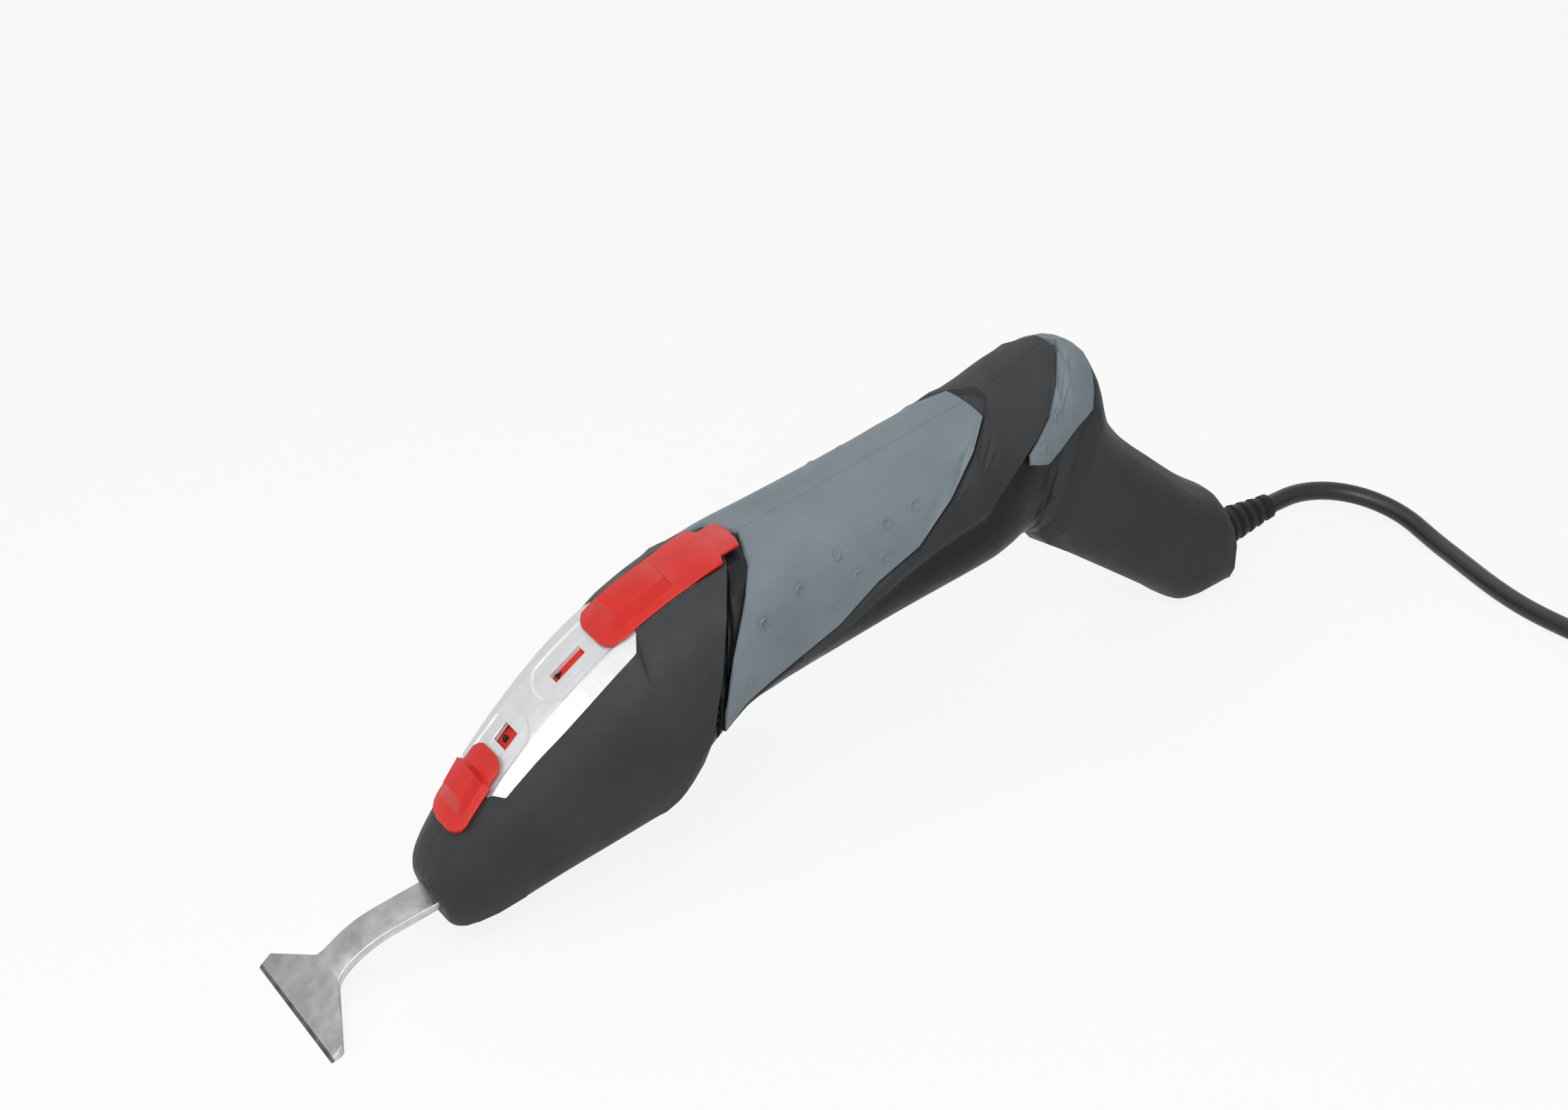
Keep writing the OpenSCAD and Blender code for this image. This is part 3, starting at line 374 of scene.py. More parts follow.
def bevelled(piece, width, angle, segments=2):
    """Rounds a piece's edges that turn by more than an angle in degrees."""
    given(
        piece.modifiers.new("Round", "BEVEL"), width=width, segments=segments, limit_method="ANGLE",
        angle_limit=math.radians(angle), harden_normals=True)


def walled(piece, thickness):
    """Gives a sheet its thickness, below its own surface."""
    given(piece.modifiers.new("Wall", "SOLIDIFY"), thickness=thickness, offset=-1)


def applied(piece):
    """Bakes a piece's modifiers into its mesh."""
    graph = bpy.context.evaluated_depsgraph_get()
    mesh = bpy.data.meshes.new_from_object(piece.evaluated_get(graph))
    piece.modifiers.clear()
    old, piece.data = piece.data, mesh
    name = old.name
    bpy.data.meshes.remove(old)
    mesh.name = name


def searched(*meshes):
    """A search tree over meshes."""
    bm = bmesh.new()
    for mesh in meshes:
        bm.from_mesh(mesh)
    tree = BVHTree.FromBMesh(bm)
    bm.free()
    return tree


def carrier(*nodes):
    """A search tree over CAD nodes, for setting pieces on them."""
    return searched(*(frame["nodes"][node].data for node in nodes))


def below(tree, x, y):
    """Where a ray straight down at x and y meets a surface, and its normal."""
    place, normal, _, _ = tree.ray_cast(tool(x, y, SKY), -UP)
    return place, normal


def shaped(bm, make, matrix, **measures):
    """Adds a bmesh primitive under a matrix and returns its vertices."""
    return make(bm, matrix=matrix, **measures)["verts"]


def swept(bm, start, radius, segments, middle, axis, angle, steps):
    """Sweeps a small circle round an axis, closed where it comes full circle."""
    ring = bmesh.ops.create_circle(bm, segments=segments, radius=radius, matrix=start)["verts"]
    edges = list(dict.fromkeys(edge for vertex in ring for edge in vertex.link_edges))
    bmesh.ops.spin(
        bm, geom=ring + edges, cent=middle, axis=axis, angle=angle, steps=steps, use_merge=angle == math.tau)


def axes(origin, x, y, z):
    """A matrix from an origin and three directions."""
    return Matrix.Translation(origin) @ Matrix((x, y, z)).transposed().to_4x4()


def dressed(node, finish):
    """Gives a CAD node's own object a finish."""
    data = frame["nodes"][node].data
    data.materials.clear()
    data.materials.append(finish.material)


# Camera, from the photograph's vanishing points: its place and its axes right, up and back, on the tool

CAMERA_LENS = 70.62
CAMERA_PLACE = (-105.12, -654.39, 587.77)
CAMERA_AXES = ((0.82808, -0.52351, -0.20056), (0.45901, 0.42772, 0.7787), (-0.32187, -0.73688, 0.59448))


class SCRAPER_OT_camera(bpy.types.Operator):
    """Place the camera at the photograph's viewing angle"""

    bl_idname = "scraper.camera"
    bl_label = "Camera"

    def execute(self, context):
        data = given(bpy.data.cameras.new("Camera"), lens=CAMERA_LENS, sensor_width=36, clip_start=0.02)
        camera = linked("Camera", data)
        camera.matrix_world = axes(tool(*CAMERA_PLACE), *(way(*axis) for axis in CAMERA_AXES))
        context.scene.camera = camera
        return {"FINISHED"}


# Lead: the route repeats the solid's, in metres

LEAVE = Vector((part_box("cord_run")[0].x, 0, 0.0136978))
LAY_X = 0.036
TURN_R = 0.03
LOW = 0.0031
RUN_SWAY = 0.0018
RUN_MEETS = 0.006
RUN_SETTLED = 0.15
COIL_Y = -0.134
COIL_Z = 0.0045
COIL_IN = 0.0246
COIL_PITCH = 0.0068
COIL_TURNS = 3.5
CLIMB_TURNS = 0.5
PLUG_Z = 0.0215
PLUG_R = COIL_IN + 1.75 * COIL_PITCH
PLUG_ENTRY = (0.005, 0.01)

# Steps of the route in its bend, along its run, in each turn, and in the last half turn and its rise

BEND_STEPS = 24
RUN_STEPS = 32
COIL_STEPS = 48
END_STEPS = 24
END_RISE = 16


def lead_route():
    """Points of the lead from the strain relief through the coil to the plug."""
    points = [Vector((0, 0, LEAVE.z))]
    for k in range(BEND_STEPS + 1):
        a = math.pi / 2 * k / BEND_STEPS
        points.append(Vector((
            LAY_X - TURN_R + TURN_R * math.sin(a), TURN_R * math.cos(a) - TURN_R,
            mix(LEAVE.z, LOW, ease(k / RUN_STEPS)))))
    for k in range(1, RUN_STEPS + 1):
        f = k / RUN_STEPS
        if f < RUN_SETTLED:
            z = mix(LEAVE.z, LOW, ease(mix(BEND_STEPS / RUN_STEPS, 1, f / RUN_SETTLED)))
        else:
            z = mix(LOW, COIL_Z, ease(2 * f - 1))
        sway = RUN_SWAY * (1 - math.cos(math.tau * f))
        points.append(Vector((LAY_X - sway, mix(-TURN_R, COIL_Y + RUN_MEETS, f), z)))
    reach = COIL_IN + COIL_TURNS * COIL_PITCH
    middle = Vector((LAY_X + reach, COIL_Y, 0))

    def turn(t, r, z):
        a = math.tau * t
        return middle + Vector((-r * math.cos(a), -r * math.sin(a), z))

    for k in range(int(COIL_STEPS * 2 * COIL_TURNS) + 1):
        t = k / COIL_STEPS
        climb = COIL_PITCH * ease((t - COIL_TURNS) / CLIMB_TURNS + 0.5)
        points.append(turn(t, COIL_IN + COIL_PITCH * abs(t - COIL_TURNS), COIL_Z + climb))
    for k in range(1, END_STEPS + 1):
        r = mix(reach, PLUG_R, ease((k - END_STEPS + END_RISE) / END_RISE))
        z = mix(COIL_Z + COIL_PITCH, PLUG_Z, ease(k / END_RISE))
        points.append(turn(2 * COIL_TURNS + k / COIL_STEPS, r, z))
    for d in PLUG_ENTRY:
        points.append(middle + Vector((PLUG_R, d, PLUG_Z)))
    return [point + Vector((LEAVE.x, 0, 0)) for point in points]


class SCRAPER_OT_lead(bpy.types.Operator):
    """Lay the mains lead with its coil, tie, strain relief and plug"""

    bl_idname = "scraper.lead"
    bl_label = "Lead"

    def execute(self, context):
        points = lead_route()
        data = given(
            bpy.data.curves.new("lead", "CURVE"), dimensions="3D", bevel_depth=sizes().cord / 2,
            bevel_resolution=5, use_fill_caps=True)
        spline = data.splines.new("POLY")
        spline.points.add(len(points) - 1)
        for spot, point in zip(spline.points, points):
            spot.co = (*point, 1)
        spline.use_smooth = True
        rubber = glossy_plastic("lead rubber", colours().cord, 0.36)
        rubber.set("Coat Weight", 0.15)
        rubber.set("Coat Roughness", 0.3)
        data.materials.append(rubber.material)
        lead = linked("lead", data)
        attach(lead, "housing")
        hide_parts("cord_run", "cord_coil")
        guard = soft_rubber("strain relief rubber", scaled(colours().cord, 1.3))
        for node in ("cord_guard", "cord_inlet", "plug_body"):
            dressed(node, guard)
        dressed("coil_tie", glossy_plastic("tie strap", shade("2a2b2d"), 0.5))
        dressed("plug_pins", metal("pin brass", shade("c9b46e"), 0.3))
        return {"FINISHED"}


# Housing, in the tool's millimetres. The collar's edges are places along the tool at each height, and the
# cheek's edge and the belly's lines are heights and drops at each place along it

SHELL_EDGE = 34
COLLAR_FRONT = [
    (20.8, 126.5), (27.7, 129.7), (43.7, 136), (55.7, 141.6), (64.2, 146.8), (70.5, 152.6), (75.6, 161)]
COLLAR_BACK = [(36.6, 137.7), (46.1, 140.8), (57, 146), (65.3, 152.5), (71.4, 160.1), (76, 169)]
COLLAR_END = 172
COLLAR_MARGINS = (0.8, 0.4)
COLLAR_MIDDLE = 44
COLLAR_TOP = 56
COLLAR_TURN = math.radians(20)
COLLAR_ROUNDS = 30
CHEEK_EDGE = [
    (139.7, 33.9), (147.4, 37.8), (167.9, 41.7), (195.1, 47.7), (210.8, 52.5), (235.4, 55.6), (252.1, 65.6),
    (264.8, 73), (278.8, 82.4)]
PANEL_ENDS = (140, 262)
CHEEK_RIDGE = [(245.6, 71.8), (236.4, 63.2), (230.1, 55.8)]
RIDGE_ENDS = (222, 252)
RIDGE_Y = 14
RIDGE_RISE = 0.4
RIDGE_HALF = 4.5
BELLY_FLOOR = [(54, 6.3), (62, 6.3), (88, 8.5), (105, 10.1), (120, 11.6), (135, 22)]
BELLY_MIDDLE = [(54, 18), (62, 24), (88, 34), (105, 38), (120, 40), (135, 42)]
BELLY_DROP = [(54, 2.4), (62, 3), (88, 1.8), (105, 1.3), (120, 0.8), (135, 0)]
SHOULDER_WALL = (10.7, 10.95)
SHOULDER_CUT = (116, 166)
SHOULDER_FRONT = (119.5, 130.5)
SHOULDER_REAR = (163, 157)
SHOULDER_FADE = (19, 29)
SHOULDER_LOW = 50
SHOULDER_SLACK = 0.02
RAIL_X = (126.4, 149.5)
RAIL_Y = (10.65, 13.4)
RAIL_GRID = (40, 6)
RAIL_PROBE = 2
RAIL_SLOPE = 0.4
RAIL_LIFT = 0.06
RAIL_SINKS = (0.25, 0.5)
RAIL_OUTER = (0.75, 1)
RAIL_REAR = (147.5, 149.5)
RAIL_WALL = 1.6

# The flank behind the dial plate's corner, and its upper part, which follows a straight line

FLANK_X = (112, 129)
FLANK_Z = (26, 63)
FLANK_Y = 20
FLANK_FACING = 0.15
FLANK_WELD = 1.8
FLANK_UPPER_X = (118, 127)
FLANK_UPPER_Z = 57
FLANK_LINE = (Vector((114.2, 23, 55.7)), Vector((132, 22.1, 64.1)))
FLANK_LEAN = 0.325

# Air vents: the upper end, the lower end and the width of each, and the fins in them

VENTS = [((145, 54.8), (141.6, 36.5), 3.6), ((139, 48.8), (135.6, 34.5), 3)]
VENT_Y = 27
VENT_DEEP = 14
FIN_Y = 24.6
FIN_GAPS = 6
FIN_REACH = 1.1
FIN_DEEP = 1.6


def vent_cutter(side):
    """Oval prisms through one flank's wall for the air vents."""
    bm = bmesh.new()
    for (x0, z0), (x1, z1), wide in VENTS:
        run = way(x1 - x0, 0, z1 - z0)
        lie = run.normalized()
        at = axes(tool((x0 + x1) / 2, side * VENT_Y, (z0 + z1) / 2), lie, ACROSS.cross(lie), ACROSS)
        size = Matrix.Diagonal((run.length / 2 * MM, wide / 2 * MM, VENT_DEEP * MM, 1))
        shaped(
            bm, bmesh.ops.create_cone, at @ size, cap_ends=True, segments=28, radius1=1, radius2=1, depth=1)
    bmesh.ops.recalc_face_normals(bm, faces=bm.faces)
    return meshed("vent cutter", bm)


def off_line(x, z, line):
    """Distance from a point to a broken line."""
    best = math.inf
    for a, b in zip(line, line[1:]):
        a, b, p = Vector(a), Vector(b), Vector((x, z))
        t = min(1, max(0, (p - a).dot(b - a) / (b - a).length_squared))
        best = min(best, (p - a.lerp(b, t)).length)
    return best


def on_flank(vertex):
    """Whether a vertex lies on the flank behind the dial plate's corner."""
    spot = on_tool(vertex.co)
    outside = math.copysign(1, spot.y) * vertex.normal.y > FLANK_FACING
    return outside and within(spot.x, FLANK_X) and within(spot.z, FLANK_Z) and abs(spot.y) > FLANK_Y


def shoulder_rise(x, y):
    """How far the shell stands up beside the speed slider, in millimetres."""
    along = ease(part_way(x, SHOULDER_FRONT)) * ease(part_way(x, SHOULDER_REAR))
    return sizes().shoulder / MM * along * (1 - ease(part_way(abs(y), SHOULDER_FADE)))


class SCRAPER_OT_housing(bpy.types.Operator):
    """Finish the two halves of the moulded housing"""

    bl_idname = "scraper.housing"
    bl_label = "Housing"

    def execute(self, context):
        grained = moulded("shell grained black", colours().shell, 0.55, sizes().grain, depth=0.00012)
        satin = moulded("shell satin black", colours().satin, 0.4, sizes().grain * 2, depth=0.00003)
        for name, side in SIDES:
            bm = copied("shell_" + name)
            self.mended(bm)
            freed(bm)
            for face in bm.faces:
                spot = on_tool(face.calc_center_median())
                collar = between(spot.z, COLLAR_FRONT) < spot.x < COLLAR_END
                panel = within(spot.x, PANEL_ENDS) and spot.z < between(spot.x, CHEEK_EDGE)
                face.material_index = int(collar or panel)
            half = placed("housing_" + name, bm, [grained, satin], ["shell_" + name])
            faired(half, times=12)
            self.vented(half, side)
            self.reshaped(half, side)
            self.rail(grained, half, name, side)
        self.fins(satin)
        return {"FINISHED"}

    def mended(self, bm):
        """Creases the shell and takes the narrow strips out of its flanks."""
        bm.normal_update()
        flank = [vertex for vertex in bm.verts if on_flank(vertex)]
        bmesh.ops.remove_doubles(bm, verts=flank, dist=FLANK_WELD * MM)
        for vertex in bm.verts:
            spot = on_tool(vertex.co)
            if on_flank(vertex) and within(spot.x, FLANK_UPPER_X) and spot.z > FLANK_UPPER_Z:
                line = FLANK_LINE[0].lerp(FLANK_LINE[1], part_way(spot.x, [end.x for end in FLANK_LINE]))
                half = line.y + FLANK_LEAN * (line.z - spot.z)
                vertex.co = tool(spot.x, math.copysign(half, spot.y), spot.z)
        bm.normal_update()
        creased(bm, SHELL_EDGE)
        for edge in bm.edges:
            if all(on_flank(vertex) for vertex in edge.verts):
                edge.smooth = True

    def vented(self, half, side):
        """Cuts the air vents through a shell and bakes it."""
        cutter = vent_cutter(side)
        given(
            half.modifiers.new("Vents", "BOOLEAN"), operation="DIFFERENCE", solver="MANIFOLD",
            object=cutter)
        applied(half)
        bpy.data.objects.remove(cutter)

    def reshaped(self, half, side):
        """Raises the shell beside the speed slider and the cheek's ridge, and deepens the nose."""
        bm = bmesh.new()
        bm.from_mesh(half.data)
        for y in SHOULDER_WALL:
            near = [
                face for face in bm.faces if within(on_tool(face.calc_center_median()).x, SHOULDER_CUT)]
            edges = dict.fromkeys(edge for face in near for edge in face.edges)
            corners = dict.fromkeys(vertex for face in near for vertex in face.verts)
            bmesh.ops.bisect_plane(
                bm, geom=[*near, *edges, *corners], dist=CUT_REACH, plane_co=tool(0, side * y, 0),
                plane_no=ACROSS)
        bm.normal_update()
        for vertex in bm.verts:
            spot = on_tool(vertex.co)
            if abs(spot.y) > SHOULDER_WALL[1] - SHOULDER_SLACK and spot.z > SHOULDER_LOW:
                vertex.co += UP * shoulder_rise(spot.x, spot.y) * MM
            if abs(spot.y) > RIDGE_Y and within(spot.x, RIDGE_ENDS):
                rise = RIDGE_RISE * max(0, 1 - off_line(spot.x, spot.z, CHEEK_RIDGE) / RIDGE_HALF)
                vertex.co += vertex.normal * rise * MM
            if spot.x < BELLY_DROP[-1][0]:
                ends = between(spot.x, BELLY_MIDDLE), between(spot.x, BELLY_FLOOR)
                vertex.co -= UP * between(spot.x, BELLY_DROP) * ease(part_way(spot.z, ends)) * MM
        collar = [vertex for vertex in bm.verts if self.on_collar(vertex)]
        for _ in range(COLLAR_ROUNDS):
            bmesh.ops.smooth_vert(
                bm, verts=collar, factor=0.5, use_axis_x=True, use_axis_y=True, use_axis_z=True)
        for edge in bm.edges:
            edge.smooth = edge.calc_face_angle(0) < math.radians(SHELL_EDGE)
        bm.to_mesh(half.data)
        bm.free()

    def on_collar(self, vertex):
        """Whether a vertex lies on the collar's outside, and not on an edge low down."""
        spot = on_tool(vertex.co)
        front, back = between(spot.z, COLLAR_FRONT), between(spot.z, COLLAR_BACK)
        inside = front + COLLAR_MARGINS[0] < spot.x < back + COLLAR_MARGINS[1]
        out = way(0, spot.y, spot.z - COLLAR_MIDDLE).normalized()
        turn = max(edge.calc_face_angle(0) for edge in vertex.link_edges)
        return inside and (spot.z > COLLAR_TOP or turn < COLLAR_TURN) and vertex.normal.dot(out) > FACING

    def rail(self, finish, half, name, side):
        """Fills the strip between the speed slider and the shell's shoulder."""
        tree = searched(half.data)
        bm = bmesh.new()
        bmesh.ops.create_grid(bm, x_segments=RAIL_GRID[0], y_segments=RAIL_GRID[1], size=0.5)
        heights = {}
        for vertex in bm.verts:
            x = mix(*RAIL_X, vertex.co.x + 0.5)
            across = 0.5 + side * vertex.co.y
            y = mix(*RAIL_Y, across)
            if x not in heights:
                probes = (RAIL_Y[1], RAIL_Y[1] + RAIL_PROBE)
                edge, past = (on_tool(below(tree, x, side * probe)[0]).z for probe in probes)
                heights[x] = edge, RAIL_SLOPE * (edge - past)
            edge, slope = heights[x]
            sink = RAIL_SINKS[0] * ease(part_way(across, RAIL_OUTER))
            sink += RAIL_SINKS[1] * ease(part_way(x, RAIL_REAR))
            vertex.co = tool(x, side * y, edge + slope * (RAIL_Y[1] - y) + RAIL_LIFT - sink)
        smoothed(bm)
        rail = placed("slider_rail_" + name, bm, [finish])
        walled(rail, RAIL_WALL * MM)
        bevelled(rail, 0.00015, 50)

    def fins(self, finish):
        """Thin fins across the air vents."""
        bm = bmesh.new()
        for _, side in SIDES:
            for (x0, z0), (x1, z1), wide in VENTS:
                for k in range(1, FIN_GAPS):
                    f = k / FIN_GAPS
                    at = tool(mix(x0, x1, f), side * FIN_Y, mix(z0, z1, f))
                    size = Matrix.Diagonal((wide * FIN_REACH * MM, FIN_DEEP * MM, sizes().fin, 1))
                    lie = axes(at, ALONG, ACROSS, UP)
                    shaped(bm, bmesh.ops.create_cube, lie @ size, size=1)
        bmesh.ops.bevel(
            bm, geom=bm.edges, offset=0.0002, affect="EDGES", segments=2, profile=0.5, material=-1)
        placed("vent_fins", bm, [finish])


# Pads: where the nubs are, in the tool's millimetres, and the size of a nub in metres

GRIP_NUBS = [
    (150.3, 46.9), (158.4, 62.6), (166, 52.5), (172.5, 65), (181, 55), (191.1, 59.6), (187, 68), (200.7, 60),
    (204.9, 68.4), (215.2, 68.7)]
PALM_NUBS = [(260.3, 64.7), (267.5, 70.8)]
NUB_R = 0.0014
NUB_ROUND = 0.0005
NUB_SINK = 0.00018


class SCRAPER_OT_pads(bpy.types.Operator):
    """Finish the soft grip pads and palm pads with their raised nubs"""

    bl_idname = "scraper.pads"
    bl_label = "Pads"

    def execute(self, context):
        rubber = soft_rubber("grip rubber", colours().grip)
        for node in ("grip_pad_left", "grip_pad_right", "palm_pad_left", "palm_pad_right"):
            bm = copied(node)
            creased(bm, SHELL_EDGE)
            freed(bm)
            pad = placed(node.replace("_pad", ""), bm, [rubber], [node])
            faired(pad, times=10)
            bevelled(pad, 0.0004, SHELL_EDGE)
        bm = bmesh.new()
        for name, side in SIDES:
            for node, spots in (("grip_pad_" + name, GRIP_NUBS), ("palm_pad_" + name, PALM_NUBS)):
                tree = carrier(node)
                for x, z in spots:
                    place, normal, _, _ = tree.ray_cast(tool(x, side * ASIDE, z), Vector((0, -side, 0)))
                    self.nub(bm, place, normal)
        bmesh.ops.recalc_face_normals(bm, faces=bm.faces)
        smoothed(bm)
        placed("grip_nubs", bm, [rubber])
        return {"FINISHED"}

    def nub(self, bm, place, normal):
        """A low ring pressed up out of the pad."""
        flat = normal.orthogonal().normalized()
        start = axes(place + flat * NUB_R - normal * NUB_SINK, flat, normal, flat.cross(normal))
        swept(bm, start, NUB_ROUND, 10, place, normal, math.tau, steps=20)


# Dial plate, in the tool's millimetres. A window or slot is its middle, its half length and its half width

PLATE_ENDS = (71.2, 145.5)
PLATE_GRID = (165, 66)
PLATE_WALL = 0.75
PLATE_FILL = 0.22
EDGE_LIFT = 0.1
RIM_REACH = 18
RIM_STEP = 0.04
RIM_STEPS = 250
RIM_FALL = 0.015
RIM_PROUD = 0.22
RIM_LAST = 127
LOCK_WINDOW = (84.4, 2.58, 3.4)
SPEED_WINDOW = (108, 5.34, 2.3)
STEM_SLOTS = ((73, 6, 2.7), (131, 9.2, 2.7))
TRACK_HALF = 9.2
TRACK_ARC = 11.5
TRACK_WALL = 0.5
LOCK_TRACK_END = 91.8
SPEED_TRACK_END = 96.6
CREASE_FROM = 5.5
CREASE_Y = 9.9
CREASE_RISE = 0.35
LOCK_FRAME_DEEP = 1.2
SPEED_FRAME_DEEP = 1.7
FRAME_TOP = 0.7
FRAME_ROOM = 0.5
FRAME_WALL = 0.45
NUMERALS = (("3", 103.6), ("2", 106.6), ("1", 109.6), ("0", 112.4))
NUMERAL_Y = -5.3
NUMERAL_LIFT = 0.16
NUMERAL_FONT = 1.35

# The plate's crown: steps along it and to each side, rounds of evening, and its half width's search

CROWN_LAST = 73
CROWN_HALF = 11
CROWN_RUN = 4
CROWN_ROUNDS = 8
HALF_LEAST = 8.0
HALF_STEP = 0.1


def in_window(face, window):
    """Whether a face of the plate lies in a window."""
    spot = on_tool(face.calc_center_median())
    return abs(spot.x - window[0]) < window[1] and abs(spot.y) < window[2]


def rim(tree, x):
    """Where the shell's wall beside the plate is highest at x, across and up, or nothing."""
    best = None
    for k in range(RIM_STEPS):
        y = RIM_REACH - RIM_STEP * k
        place, _ = below(tree, x, -y)
        z = on_tool(place).z if place else 0
        if best and z < best[1] - RIM_FALL:
            return best
        best = y, z
    return None


def track_drop(x, y):
    """How far the plate's two tracks lie below its crown, in millimetres."""
    lock = TRACK_ARC - math.hypot(max(x - LOCK_TRACK_END + TRACK_ARC, 0), y)
    speed = TRACK_ARC - math.hypot(min(x - SPEED_TRACK_END - TRACK_ARC, 0), y)
    inside = min(TRACK_HALF - abs(y), max(lock, speed))
    return ease(inside / TRACK_WALL) * sizes().track / MM


class Crown:
    """The dial plate's smooth upper surface, read from its CAD node."""

    def __init__(self):
        self.tree = carrier("top_plate")
        rows = [mix(*PLATE_ENDS, k / CROWN_LAST) for k in range(CROWN_LAST + 1)]
        self.lines = [self.line(y, rows) for y in range(-CROWN_HALF, CROWN_HALF + 1)]

    def line(self, y, rows):
        """Evened heights along the plate at y, running on straight at the front."""
        heights = [(x, self.height(x, y)) for x in rows]
        known = [(x, z) for x, z in heights if z is not None]
        (x0, z0), (x1, z1) = known[0], known[CROWN_RUN]
        fall = (z1 - z0) / (x1 - x0)
        line = [z0 + fall * (x - x0) if x < x0 else between(x, known) for x in rows]
        for _ in range(CROWN_ROUNDS):
            line[1:-1] = [(a + 2 * b + c) / 4 for a, b, c in zip(line, line[1:], line[2:])]
        return line

    def height(self, x, y):
        """The CAD node's height at x and y, or nothing off its upper surface."""
        place, normal = below(self.tree, x, y)
        return on_tool(place).z if place and normal.dot(UP) > FACING else None

    def half(self, x):
        """The plate's half width at x."""
        widest = HALF_LEAST
        while self.height(x, widest + HALF_STEP) is not None:
            widest += HALF_STEP
        return widest

    def at(self, x, y):
        """The crown's height at x and y, running on along its slope at the sides."""
        along = min(max(part_way(x, PLATE_ENDS) * CROWN_LAST, 0), CROWN_LAST - 0.001)
        i, j = int(along), min(max(int(y + CROWN_HALF), 0), 2 * CROWN_HALF - 1)
        low, high = (mix(line[i], line[i + 1], along - i) for line in self.lines[j:j + 2])
        return mix(low, high, y + CROWN_HALF - j)

    def spot(self, x, y, lift):
        """Axes on the plate at x and y: along, across and out of it."""
        along = Vector((1, 0, (self.at(x + 1, y) - self.at(x - 1, y)) / 2)).normalized()
        across = Vector((0, 1, (self.at(x, y + 1) - self.at(x, y - 1)) / 2)).normalized()
        out = along.cross(across).normalized()
        across = out.cross(along)
        place = Vector((x, y, self.at(x, y))) + out * lift
        return axes(tool(*place), way(*along), way(*across), way(*out))


